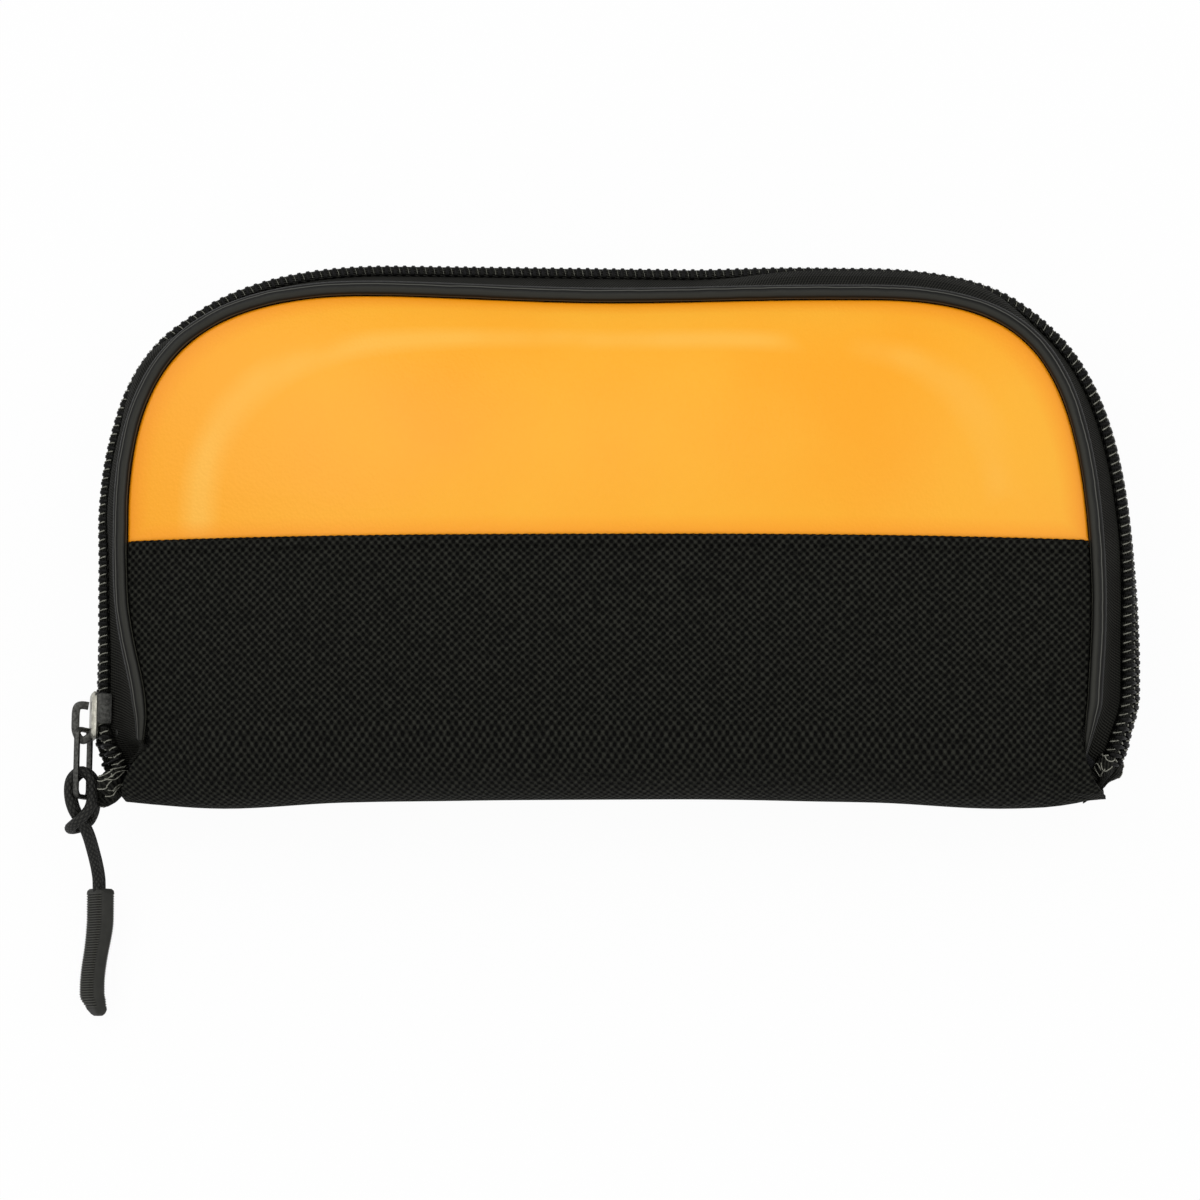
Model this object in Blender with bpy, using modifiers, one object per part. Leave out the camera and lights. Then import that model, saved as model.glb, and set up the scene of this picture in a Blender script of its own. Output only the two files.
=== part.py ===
"""Padded clamshell case for a hand-held meter, zipped on three sides and lying on its back.

+X points to the right, +Y to the top edge and +Z out of the front panel. The origin is the
middle of the flat back. Each half is a stack of layers cut flat and bent round the fold along
the bottom edge, closed at the sides and top by a wall of zip tape with a piped seam.
"""

import math

import bmesh
import bpy
import numpy as np
from mathutils import Matrix, Vector

GAP = 0.0003

# Outline of the zip at half depth, seen from the front, measured from the fold at the bottom
WALL_HALF_WIDTH = 0.1121
WALL_HEIGHT = 0.1161
TOP_FALL = 0.0022
LEFT_FLAT = 0.0485
RIGHT_FLAT = 0.0560
LEFT_CORNER_START = 0.0600
RIGHT_CORNER_START = 0.0265
LEFT_FULLNESS = 0.69
RIGHT_FULLNESS = 0.77
FOLD_SET_IN = 0.0051
LEFT_FOOT_HEIGHT = 0.0125
RIGHT_FOOT_HEIGHT = 0.0220
FOOT_FULLNESS = 0.60
FOOT_APEX = 0.50

# Depths and crowns
HALF_DEPTH = 0.0150
FRONT_CROWN = 0.0120
BACK_CROWN = 0.0040
CROWN_POWER = 2.6
REST_FACE_SHARE = 0.74
FOLD_BULGE = 0.0018
FOLD_SLIT = 0.0005
FOLD_RISE = 0.0012
FOLD_RISE_MIDDLE = 0.0100
FOLD_RISE_SPREAD = 0.0500
FOLD_RISE_REACH = 0.0300

# Layers of a panel
FABRIC_THICKNESS = 0.0008
VINYL_THICKNESS = 0.0004
FOAM_THICKNESS = 0.0050
LINING_THICKNESS = 0.0006
LAYER_GAP = 0.00045
SEAM_HEIGHT = 0.0555

# Piped seam and zip tape
PIPING_RADIUS = 0.00165
PIPING_INSET = 0.0046
PIPING_DROP = 0.0004
PIPING_END_HEIGHT = 0.0070
PIPING_END_SHARE = 0.30
FOOT_RISE = 0.0140
FOOT_INSET_SHARE = 0.05
PUCKER_HEIGHT = 0.0165
PUCKER_SPREAD = 0.0184
LEFT_PUCKER = 0.0054
RIGHT_PUCKER = 0.0019
LEFT_CORNER_EASE = 0.0009
RIGHT_CORNER_EASE = 0.0012
TOP_SAG = 0.0011
TOP_SAG_MIDDLE = -0.0035
TOP_SAG_SPREAD = 0.0340
TAPE_THICKNESS = 0.0008
TAPE_UPRIGHT = 0.0056
TAPE_FLANGE = 0.0020
BINDING_THICKNESS = 0.0007
BINDING_END_HEIGHT = 0.0120
ZIP_END_HEIGHT = 0.0040
ZIP_TAB_HEIGHT = 0.0021
ZIP_TAB_THICKNESS = 0.0016

# Zip teeth
TOOTH_PITCH = 0.00195
TOOTH_WAVE = 0.0008
TOOTH_CLEARANCE = 0.00058
COIL_WIDTH = 0.0036
COIL_THICKNESS = 0.0026
COIL_GROOVE = 0.0008

# Slider
SLIDER_LENGTH = 0.0104
SLIDER_HEIGHT = 0.0184
SLIDER_TRAVEL = 0.0360
PLATE_THICKNESS = 0.0009
RIM_THICKNESS = 0.0012
RIM_LENGTH = 0.0067
CHANNEL_CLEARANCE = 0.0004
DIVIDER_LENGTH = 0.0023
DIVIDER_HALF_WIDTH = 0.0013
HOOK_BAR_RADIUS = 0.0009
HOOK_REACH = 0.0040
HOOK_LENGTH = 0.0084

# Pull: link, cord and grip
LINK_LENGTH = 0.0160
LINK_HALF_WIDTH = 0.0039
LINK_BAR = 0.0011
LINK_THICKNESS = 0.0013
LINK_TWIST = math.radians(-12)
CORD_DIAMETER = 0.0024
CORD_POINT_SPACING = 0.0024
GRIP_LENGTH = 0.0280
GRIP_WIDTH = 0.0070
GRIP_THICKNESS = 0.0045
GRIP_ROLL = math.radians(40)
GRIP_SWAY = 0.0012
GRIP_TILT = math.radians(4)
GRIP_SHIFT = 0.0003

# Inner slip pocket
POCKET_HEIGHT = 0.0580
POCKET_BAND = 0.0045
POCKET_EASE = 0.0005

# Mesh resolution
WALL_STATIONS = 25
FOLD_STATIONS = 7
PANEL_RINGS = (0.3, 0.55, REST_FACE_SHARE, 0.87, 0.95)
CORNER_SOFTNESS = 1.6
POCKET_RINGS = PANEL_RINGS[:3]

# Places that follow from the sizes above
FRONT, BACK = 1, -1
FOLD_HALF_WIDTH = WALL_HALF_WIDTH - FOLD_SET_IN
COIL_FOOT = GAP
COIL_TOP = COIL_FOOT + COIL_THICKNESS
ZIP_MIDDLE = HALF_DEPTH + BACK_CROWN
FOLD_Y = -(WALL_HEIGHT + COIL_TOP) / 2
QUARTER_TURN = HALF_DEPTH * math.pi / 2
TAPE_EDGE = DIVIDER_HALF_WIDTH + GAP
PANEL_INSET = PIPING_INSET + PIPING_RADIUS + GAP
FOAM_DEPTH = FABRIC_THICKNESS + LAYER_GAP
LINING_DEPTH = FOAM_DEPTH + FOAM_THICKNESS + LAYER_GAP
POCKET_DEPTH = LINING_DEPTH + LINING_THICKNESS + LAYER_GAP + POCKET_EASE
SPREAD = DIVIDER_HALF_WIDTH + GAP + TOOTH_WAVE - TOOTH_CLEARANCE / 2 + 0.0001


def smooth(t):
    """Eased step from 0 to 1"""
    t = min(max(t, 0.0), 1.0)
    return t * t * (3 - 2 * t)


def start_scene():
    for obj in list(bpy.data.objects):
        bpy.data.objects.remove(obj, do_unlink=True)
    for name in ("multimeter_case", "cutters"):
        bpy.context.scene.collection.children.link(bpy.data.collections.new(name))


def material(name, colour, roughness, metallic=0.0):
    made = bpy.data.materials.new(name)
    made.use_nodes = True
    shader = made.node_tree.nodes["Principled BSDF"]
    shader.inputs["Base Color"].default_value = (*colour, 1.0)
    shader.inputs["Roughness"].default_value = roughness
    shader.inputs["Metallic"].default_value = metallic
    return made


def add_object(name, data, paint=None, parent=None, collection="multimeter_case"):
    """Link a new object; one that has a parent keeps its place in the world"""
    obj = bpy.data.objects.new(name, data)
    bpy.data.collections[collection].objects.link(obj)
    if paint:
        data.materials.append(paint)
    if parent:
        hold(obj, parent)
    return obj


def hold(obj, parent):
    """Make an object move with a parent and stay where it is"""
    bpy.context.view_layer.update()
    obj.parent = parent
    obj.matrix_parent_inverse = parent.matrix_world.inverted()


def add_empty(name, location, parent=None):
    empty = bpy.data.objects.new(name, None)
    bpy.data.collections["multimeter_case"].objects.link(empty)
    empty.location = location
    if parent:
        hold(empty, parent)
    return empty


def mesh_from(bm, name):
    bmesh.ops.recalc_face_normals(bm, faces=bm.faces)
    mesh = bpy.data.meshes.new(name)
    bm.to_mesh(mesh)
    bm.free()
    return mesh


def bezier_corner(start, apex, end, fullness, count=40):
    """Points of one round corner between two straights that would meet at the apex"""
    start, apex, end = (np.array(point) for point in (start, apex, end))
    first = start + fullness * (apex - start)
    second = end + fullness * (apex - end)
    t = np.linspace(0, 1, count)[:, None]
    return (1 - t) ** 3 * start + 3 * (1 - t) ** 2 * t * first + 3 * (1 - t) * t**2 * second + t**3 * end


def top_line(x):
    return WALL_HEIGHT - TOP_FALL * (x + LEFT_FLAT) / (LEFT_FLAT + RIGHT_FLAT)


def zip_line():
    """Outer face of the tape at half depth, from the left end of the fold round to the right"""
    side = WALL_HALF_WIDTH
    pieces = (
        bezier_corner(
            (-FOLD_HALF_WIDTH, 0), (-side, LEFT_FOOT_HEIGHT * FOOT_APEX), (-side, LEFT_FOOT_HEIGHT), FOOT_FULLNESS
        ),
        bezier_corner(
            (-side, LEFT_CORNER_START), (-side, top_line(-side)), (-LEFT_FLAT, top_line(-LEFT_FLAT)), LEFT_FULLNESS
        ),
        bezier_corner(
            (RIGHT_FLAT, top_line(RIGHT_FLAT)), (side, top_line(side)), (side, RIGHT_CORNER_START), RIGHT_FULLNESS
        ),
        bezier_corner(
            (side, RIGHT_FOOT_HEIGHT), (side, RIGHT_FOOT_HEIGHT * FOOT_APEX), (FOLD_HALF_WIDTH, 0), FOOT_FULLNESS
        ),
    )
    rough = np.concatenate(pieces)
    run = np.concatenate([[0], np.cumsum(np.linalg.norm(np.diff(rough, axis=0), axis=1))])
    even = np.linspace(0, run[-1], 1600)
    return even, np.column_stack([np.interp(even, run, rough[:, axis]) for axis in (0, 1)])


RUN, LINE = zip_line()
ALONG = np.gradient(LINE, RUN, axis=0)
OUTWARD = np.column_stack([-ALONG[:, 1], ALONG[:, 0]])
TURNED = np.concatenate([[0], np.cumsum(np.abs(np.diff(np.unwrap(np.arctan2(ALONG[:, 1], ALONG[:, 0])))))])


def on_zip_line(run, outward=0.0):
    """Plan point at a run along the zip line, moved outward"""
    point = np.array([np.interp(run, RUN, LINE[:, axis]) for axis in (0, 1)])
    normal = np.array([np.interp(run, RUN, OUTWARD[:, axis]) for axis in (0, 1)])
    return point + outward * normal


def run_at_height(height, right=False):
    half = len(RUN) // 3
    if right:
        return float(np.interp(height, LINE[::-1, 1][:half], RUN[::-1][:half]))
    return float(np.interp(height, LINE[:half, 1], RUN[:half]))


def seam_depth(height):
    """Distance of a panel's edge from the middle of the zip, which falls to nothing at the fold"""
    if height >= HALF_DEPTH:
        return HALF_DEPTH
    return math.sqrt(max(HALF_DEPTH**2 - (HALF_DEPTH - height) ** 2, 0.0))


def panel_inset(run):
    """Inset of a panel's edge from the zip line: more where the zip's ends draw it in and where the
    top sags, less round the two corners, and least at the fold"""
    x, height = on_zip_line(run)
    across, up = (float(np.interp(run, RUN, OUTWARD[:, axis])) for axis in (0, 1))
    up = max(up, 0.0)
    pucker = (LEFT_PUCKER if x < 0 else RIGHT_PUCKER) * math.exp(-(((height - PUCKER_HEIGHT) / PUCKER_SPREAD) ** 2))
    sag = TOP_SAG * up * math.exp(-(((x - TOP_SAG_MIDDLE) / TOP_SAG_SPREAD) ** 2))
    ease = (LEFT_CORNER_EASE if x < 0 else RIGHT_CORNER_EASE) * 2 * abs(across) * up
    share = FOOT_INSET_SHARE + (1 - FOOT_INSET_SHARE) * smooth(height / FOOT_RISE)
    return (PANEL_INSET + pucker + sag - ease) * share


def wall_stations():
    """Runs along the zip line, closer together where it turns and where the seam comes in to it"""
    inset = np.array([panel_inset(run) for run in RUN])
    moved = np.concatenate([[0], np.cumsum(np.abs(np.diff(inset)))])
    measure = RUN / RUN[-1] + TURNED / TURNED[-1] + 0.22 * moved / PANEL_INSET
    runs = list(np.interp(np.linspace(0, measure[-1], WALL_STATIONS + 1), measure, RUN))
    for right in (False, True):
        end = run_at_height(PIPING_END_HEIGHT, right)
        runs[runs.index(min(runs, key=lambda run: abs(run - end)))] = end
    return runs


STATIONS = wall_stations()


def runs_above(height):
    """Stations of the zip line above a height, and the two places at that height"""
    first, last = run_at_height(height), run_at_height(height, True)
    apart = TAPE_THICKNESS
    return [first, *(run for run in STATIONS if first + apart < run < last - apart), last]


def wall_point(run, outward, depth, side):
    """World point from a run along the zip line, an outward offset and a depth from its middle"""
    x, y = on_zip_line(run, outward)
    return Vector((x, y + FOLD_Y, ZIP_MIDDLE + side * depth))


def piping_share(run):
    """Share of the piping's full radius, which narrows where it dives under the fabric"""
    height = on_zip_line(run)[1]
    return PIPING_END_SHARE + (1 - PIPING_END_SHARE) * smooth((height - PIPING_END_HEIGHT) / FOOT_RISE)


def piping_centre(run):
    """Outward offset and depth of the piping at a run along the zip line"""
    slope = (panel_inset(run + GAP) - panel_inset(run - GAP)) / (2 * GAP)
    beside = (PIPING_RADIUS * piping_share(run) + 2 * GAP) * math.hypot(1, slope)
    outward = -max(panel_inset(run) - beside, 0.0)
    return outward, seam_depth(on_zip_line(run, outward)[1]) - PIPING_DROP


def flat_outline():
    """Edge of a panel before it is bent round the fold: x, and the distance from the fold"""
    points = []
    for run in STATIONS:
        x, y = on_zip_line(run, -panel_inset(run))
        y = max(y, FOLD_SLIT)
        if y < HALF_DEPTH:
            y = HALF_DEPTH * math.acos(1 - y / HALF_DEPTH)
        else:
            y += QUARTER_TURN - HALF_DEPTH
        points.append((x, y))
    points[0] = (points[0][0], FOLD_SLIT)
    points[-1] = (points[-1][0], FOLD_SLIT)
    for step in range(1, FOLD_STATIONS):
        share = step / FOLD_STATIONS
        points.append((points[WALL_STATIONS][0] * (1 - share) + points[0][0] * share, FOLD_SLIT))
    return points


FLAT_OUTLINE = flat_outline()
FLAT_MIDDLE = max(point[1] for point in FLAT_OUTLINE) / 2


def flat_pattern(rings, low=None, high=None):
    """Flat panel of rings round its middle, cut straight across. A vertex's z is its ring's share"""
    bm = bmesh.new()
    middle = bm.verts.new((0, FLAT_MIDDLE, 0))
    loops = []
    for share in rings:
        loop = []
        for x, w in FLAT_OUTLINE:
            beyond = max(math.hypot(x / WALL_HALF_WIDTH, (w - FLAT_MIDDLE) / FLAT_MIDDLE) - 1, 0.0)
            pull = share * (1 - CORNER_SOFTNESS * (1 - share) * beyond * share)
            loop.append(bm.verts.new((x * pull, FLAT_MIDDLE + (w - FLAT_MIDDLE) * pull, share)))
        loops.append(loop)
    count = len(FLAT_OUTLINE)
    for i in range(count):
        j = (i + 1) % count
        bm.faces.new((middle, loops[0][j], loops[0][i]))
        for inner, outer in zip(loops, loops[1:]):
            bm.faces.new((inner[i], inner[j], outer[j], outer[i]))
    for level, keep_above in ((low, True), (high, False)):
        if level is not None:
            bmesh.ops.bisect_plane(
                bm,
                geom=bm.verts[:] + bm.edges[:] + bm.faces[:],
                dist=1e-6,
                plane_co=(0, level, 0),
                plane_no=(0, 1, 0),
                clear_inner=keep_above,
                clear_outer=not keep_above,
            )
    return bm


def crown(share, side):
    """Rise of a panel over its seam, from its edge (share 1) to its middle (share 0)"""
    if side == FRONT:
        return FRONT_CROWN * (1 - share**CROWN_POWER)
    return BACK_CROWN * (1 - smooth((share - REST_FACE_SHARE) / (1 - REST_FACE_SHARE)))


def fold_lift(x, w):
    """How far the middle of the fold stands up from the line between its ends"""
    lift = FOLD_RISE * math.exp(-(((x - FOLD_RISE_MIDDLE) / FOLD_RISE_SPREAD) ** 2))
    return lift * (1 - smooth(w / FOLD_RISE_REACH))


def bent(x, w, rise, side):
    """World point of a flat pattern's point, bent round the fold and raised along its normal"""
    turn = min(w / HALF_DEPTH, math.pi / 2)
    reach = HALF_DEPTH + rise
    y = HALF_DEPTH - reach * math.cos(turn) + max(w - QUARTER_TURN, 0.0) + fold_lift(x, w)
    return Vector((x, y + FOLD_Y, ZIP_MIDDLE + side * reach * math.sin(turn)))


def bend(bm, depth, side):
    for vert in bm.verts:
        x, w, share = vert.co
        vert.co = bent(x, w, crown(share, side) - depth, side)


def sheet_layer(name, side, depth, thickness, paint, parent, rings=PANEL_RINGS, low=None, high=None):
    """Thin layer of a panel: its outer surface, thickened inwards"""
    bm = flat_pattern(rings, low, high)
    bend(bm, depth, side)
    mesh = bpy.data.meshes.new(name)
    bmesh.ops.recalc_face_normals(bm, faces=bm.faces)
    if sum(face.normal.z * face.calc_area() for face in bm.faces) * side < 0:
        bmesh.ops.reverse_faces(bm, faces=bm.faces[:])
    bm.to_mesh(mesh)
    bm.free()
    obj = add_object(name, mesh, paint, parent)
    solid = obj.modifiers.new("thickness", "SOLIDIFY")
    solid.thickness = thickness
    solid.offset = -1
    return obj


def foam_layer(name, side, paint, parent):
    """Foam pad: a loft from its outer surface to its inner one, a layer lower all over"""
    bm = flat_pattern(PANEL_RINGS)
    outer_faces = bm.faces[:]
    rim = [edge for edge in bm.edges if edge.is_boundary]
    made = bmesh.ops.duplicate(bm, geom=bm.verts[:] + bm.edges[:] + outer_faces)
    twins = made["vert_map"]
    inner_verts = [twins[vert] for vert in list(bm.verts)[: len(bm.verts) // 2]]
    for edge in rim:
        a, b = edge.verts
        bm.faces.new((a, b, twins[b], twins[a]))
    inner = set(inner_verts)
    for vert in bm.verts:
        x, w, share = vert.co
        depth = FOAM_DEPTH + (FOAM_THICKNESS if vert in inner else 0.0)
        vert.co = bent(x, w, crown(share, side) - depth, side)
    return add_object(name, mesh_from(bm, name), paint, parent)


def strip(name, side, profile_at, runs, thickness, paint, parent):
    """Tape that follows the zip wall: the outer surface of its section, thickened inwards"""
    bm = bmesh.new()
    rows = []
    for run in runs:
        rows.append([bm.verts.new(wall_point(run, outward, depth, side)) for outward, depth in profile_at(run)])
    for row, next_row in zip(rows, rows[1:]):
        for i in range(len(row) - 1):
            quad = (row[i], row[i + 1], next_row[i + 1], next_row[i])
            bm.faces.new(quad if side == FRONT else quad[::-1])
    mesh = bpy.data.meshes.new(name)
    bm.normal_update()
    bm.to_mesh(mesh)
    bm.free()
    obj = add_object(name, mesh, paint, parent)
    solid = obj.modifiers.new("thickness", "SOLIDIFY")
    solid.thickness = thickness
    solid.offset = -1
    return obj


def tape_profile(run):
    """Section of a tape's outer face: upright at the teeth, then in under the piping and the panel"""
    outward, depth = piping_centre(run)
    radius = PIPING_RADIUS * piping_share(run)
    inset = panel_inset(run)
    seam = seam_depth(on_zip_line(run, -inset)[1])
    ceiling = seam - (FABRIC_THICKNESS + 3 * GAP) * (HALF_DEPTH / seam) ** 2.4
    below = (outward + radius * 0.1, min(depth - radius - GAP, ceiling - GAP))
    upright = min(TAPE_UPRIGHT, below[1] - 0.001)
    flange = -inset - TAPE_FLANGE * min(inset / PANEL_INSET, 1.0)
    return ((0.0, TAPE_EDGE), (0.0, upright), below, (flange, ceiling))


def binding_profile(run):
    """Section of the binding that covers the raw edges of the seam inside"""
    sink = TAPE_THICKNESS + 2 * GAP
    below, end = tape_profile(run)[2:]
    middle = (below[0] + end[0]) / 2, (below[1] + end[1]) / 2
    return ((middle[0], middle[1] - sink), (end[0], end[1] - sink))


def piping(name, side, paint, parent):
    curve = bpy.data.curves.new(name, "CURVE")
    curve.dimensions = "3D"
    curve.bevel_depth = PIPING_RADIUS
    curve.bevel_resolution = 2
    curve.use_fill_caps = True
    runs = runs_above(PIPING_END_HEIGHT)
    spline = curve.splines.new("POLY")
    spline.points.add(len(runs) - 1)
    for point, run in zip(spline.points, runs):
        point.co = (*wall_point(run, *piping_centre(run), side), 1)
        point.radius = piping_share(run)
    return add_object(name, curve, paint, parent)


def coil_spread(run):
    """How far a row of teeth is pushed aside: not at all in the slider's throat, fully below it"""
    throat = SLIDER_HEIGHT + SLIDER_LENGTH / 2 - RIM_LENGTH
    height = on_zip_line(run)[1]
    if run > RUN[-1] / 2:
        return 0.0
    return SPREAD * smooth((throat + GAP - height) / (SLIDER_LENGTH - RIM_LENGTH - GAP))


def coil_section(run, is_tooth):
    """Corners of a tooth, or of the waist between two teeth, in outward offset and depth"""
    near = TOOTH_CLEARANCE / 2 + (-TOOTH_WAVE if is_tooth else TOOTH_WAVE) + coil_spread(run)
    far = COIL_WIDTH + coil_spread(run)
    top = COIL_TOP if is_tooth else COIL_TOP - COIL_GROOVE
    slope = 0.0005
    return ((COIL_FOOT + slope, near), (COIL_FOOT, far), (top - slope, far), (top, near + slope))


def zip_coil(name, side, paint, parent):
    """One side's teeth as one ribbed strip; the other side's teeth sit in its waists"""
    first, last = run_at_height(ZIP_END_HEIGHT), run_at_height(ZIP_END_HEIGHT, True)
    steps = int((last - first) / (TOOTH_PITCH / 2))
    bm = bmesh.new()
    rows = []
    for step in range(steps + 1):
        run = first + step * TOOTH_PITCH / 2
        is_tooth = step % 2 == (0 if side == FRONT else 1)
        section = coil_section(run, is_tooth)
        rows.append([bm.verts.new(wall_point(run, outward, depth, side)) for outward, depth in section])
    for row, next_row in zip(rows, rows[1:]):
        for i in range(4):
            j = (i + 1) % 4
            bm.faces.new((row[i], row[j], next_row[j], next_row[i]))
    bm.faces.new(rows[0][::-1])
    bm.faces.new(rows[-1])
    return add_object(name, mesh_from(bm, name), paint, parent)


def box_mesh(low, high):
    bm = bmesh.new()
    bmesh.ops.create_cube(bm, size=1)
    low, high = Vector(low), Vector(high)
    for vert in bm.verts:
        vert.co = Vector(low[i] + (high[i] - low[i]) * (vert.co[i] + 0.5) for i in range(3))
    return bm


def rounded_box(name, low, high, radius, paint, parent):
    obj = add_object(name, mesh_from(box_mesh(low, high), name), paint, parent)
    edge = obj.modifiers.new("edges", "BEVEL")
    edge.width = radius
    edge.segments = 1
    edge.limit_method = "NONE"
    return obj


def zip_end(name, side, is_right, paint, parent):
    """Tab that closes a tape's end at the corner of the fold"""
    run = run_at_height(ZIP_TAB_HEIGHT / 2, is_right)
    x = wall_point(run, 0.0, 0.0, side).x
    xs = sorted((x - math.copysign(GAP, x), x + math.copysign(ZIP_TAB_THICKNESS, x)))
    zs = sorted((ZIP_MIDDLE + side * GAP, ZIP_MIDDLE + side * (TAPE_EDGE + COIL_WIDTH)))
    low = (xs[0], FOLD_Y + GAP, zs[0])
    high = (xs[1], FOLD_Y + ZIP_TAB_HEIGHT, zs[1])
    return rounded_box(name, low, high, 0.0003, paint, parent)


def outline_slab(name, outlines, low, high):
    """Slab from outlines of (along, across) points, thick from low to high outward"""
    curve = bpy.data.curves.new(name, "CURVE")
    curve.dimensions = "2D"
    curve.fill_mode = "BOTH"
    curve.extrude = (high - low) / 2
    for outline in outlines:
        spline = curve.splines.new("POLY")
        spline.points.add(len(outline) - 1)
        spline.use_cyclic_u = True
        for point, (along, across) in zip(spline.points, outline):
            point.co = (along, across, 0, 1)
    turn = Matrix(((0, 0, -1, -(low + high) / 2), (1, 0, 0, 0), (0, -1, 0, 0), (0, 0, 0, 1)))
    return curve_to_mesh(name, curve, turn)


def curve_to_mesh(name, curve, turn=None):
    helper = bpy.data.objects.new(name + "_curve", curve)
    bpy.context.scene.collection.objects.link(helper)
    graph = bpy.context.evaluated_depsgraph_get()
    mesh = bpy.data.meshes.new_from_object(helper.evaluated_get(graph))
    bpy.data.objects.remove(helper, do_unlink=True)
    bm = bmesh.new()
    bm.from_mesh(mesh)
    bmesh.ops.remove_doubles(bm, verts=bm.verts, dist=1e-6)
    if turn:
        bmesh.ops.transform(bm, matrix=turn, verts=bm.verts)
    bpy.data.meshes.remove(mesh)
    return mesh_from(bm, name)


def rounded_outline(low, high, half_width, radius, steps=3):
    """Rectangle with round corners, from low to high along and as wide as its half width"""
    points = []
    for quarter, (along, across) in enumerate(
        ((high - radius, half_width - radius), (low + radius, half_width - radius),
         (low + radius, radius - half_width), (high - radius, radius - half_width))
    ):
        for step in range(steps + 1):
            angle = math.pi / 2 * (quarter + step / steps)
            points.append((along + radius * math.cos(angle), across + radius * math.sin(angle)))
    return points


def unite(base, meshes, location):
    """Join helper solids to an object with Boolean unions"""
    for index, mesh in enumerate(meshes):
        helper = add_object(f"{base.name}_join_{index}", mesh, collection="cutters")
        helper.location = location
        helper.hide_render = True
        helper.display_type = "WIRE"
        union = base.modifiers.new(f"join_{index}", "BOOLEAN")
        union.operation = "UNION"
        union.object = helper


def slider_sizes():
    """Offsets and half widths that the slider takes from the chain and the tape it runs on"""
    half_width = COIL_WIDTH + CHANNEL_CLEARANCE + RIM_THICKNESS
    outer_low = COIL_TOP + GAP
    inner_high = -TAPE_THICKNESS - CHANNEL_CLEARANCE
    return half_width, outer_low, outer_low + PLATE_THICKNESS, inner_high - PLATE_THICKNESS, inner_high


def hook_mesh(outer_face):
    """C-shaped hook on the outer plate, open at its upper end so that a link can be hung on it"""
    foot = -SLIDER_LENGTH / 2
    bar = outer_face + HOOK_REACH
    tip = foot + HOOK_LENGTH - HOOK_BAR_RADIUS
    route = (
        (foot + 0.0012, outer_face - PLATE_THICKNESS / 2),
        (foot + 0.0002, outer_face + 0.0008),
        (foot - 0.0003, outer_face + 0.0020),
        (foot + 0.0005, bar - 0.0008),
        (foot + 0.0022, bar),
        (tip - 0.0028, bar),
        (tip - 0.0010, bar - 0.0006),
        (tip, bar - 0.0018),
        (tip, outer_face + HOOK_BAR_RADIUS),
    )
    curve = bpy.data.curves.new("hook", "CURVE")
    curve.dimensions = "3D"
    curve.bevel_depth = HOOK_BAR_RADIUS
    curve.bevel_resolution = 1
    curve.use_fill_caps = True
    spline = curve.splines.new("POLY")
    spline.points.add(len(route) - 1)
    for point, (along, outward) in zip(spline.points, route):
        point.co = (-outward, along, 0, 1)
    return curve_to_mesh("hook", curve)


def slider_body(paint, parent, location):
    """Die-cast slider: two plates, the divider that joins them, rims that hold the teeth, the hook"""
    half_width, outer_low, outer_face, inner_face, inner_high = slider_sizes()
    foot, head = -SLIDER_LENGTH / 2, SLIDER_LENGTH / 2
    plate = rounded_outline(foot, head, half_width, 0.0015)
    name = "slider_body"
    body = add_object(name, outline_slab(name, [plate], outer_low, outer_face), paint)
    body.location = location
    hold(body, parent)
    edge = body.modifiers.new("edges", "BEVEL")
    edge.width = 0.0003
    edge.segments = 1
    sunk = PLATE_THICKNESS / 2
    inner_plate = outline_slab("inner_plate", [plate], inner_face, inner_high)
    nose = foot + DIVIDER_LENGTH
    wide = foot + DIVIDER_LENGTH * 0.15
    half = DIVIDER_HALF_WIDTH
    divider = outline_slab(
        "divider",
        [((foot, -half), (foot, half), (wide, half), (nose, half * 0.2), (nose, -half * 0.2), (wide, -half))],
        inner_high - sunk,
        outer_low + sunk,
    )
    rims = []
    for sign in (1, -1):
        across = sorted((sign * half_width, sign * (half_width - RIM_THICKNESS)))
        low = (-outer_low - sunk, head - RIM_LENGTH, across[0])
        high = (-GAP - CHANNEL_CLEARANCE / 4, head - 0.0008, across[1])
        rims.append(mesh_from(box_mesh(low, high), "rim"))
    lug_low = (-outer_face - 0.0005, head - 0.0030, -HOOK_BAR_RADIUS)
    lug_high = (-outer_low, head - 0.0014, HOOK_BAR_RADIUS)
    lug = mesh_from(box_mesh(lug_low, lug_high), "lug")
    unite(body, [divider, inner_plate, *rims, hook_mesh(outer_face), lug], location)
    return body


def puller_link(paint, parent, pivot):
    """Flat link that hangs in the hook by its upper bar"""
    top = LINK_BAR / 2
    outer = rounded_outline(top - LINK_LENGTH, top, LINK_HALF_WIDTH, 0.0020)
    inner = rounded_outline(
        top - LINK_LENGTH + LINK_BAR, top - LINK_BAR, LINK_HALF_WIDTH - LINK_BAR, 0.0008
    )
    mesh = outline_slab("puller_link", [outer, inner], -LINK_THICKNESS / 2, LINK_THICKNESS / 2)
    mesh.transform(Matrix.Rotation(LINK_TWIST, 4, "Y"))
    link = add_object("puller_link", mesh, paint)
    link.location = pivot
    hold(link, parent)
    return link


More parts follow.
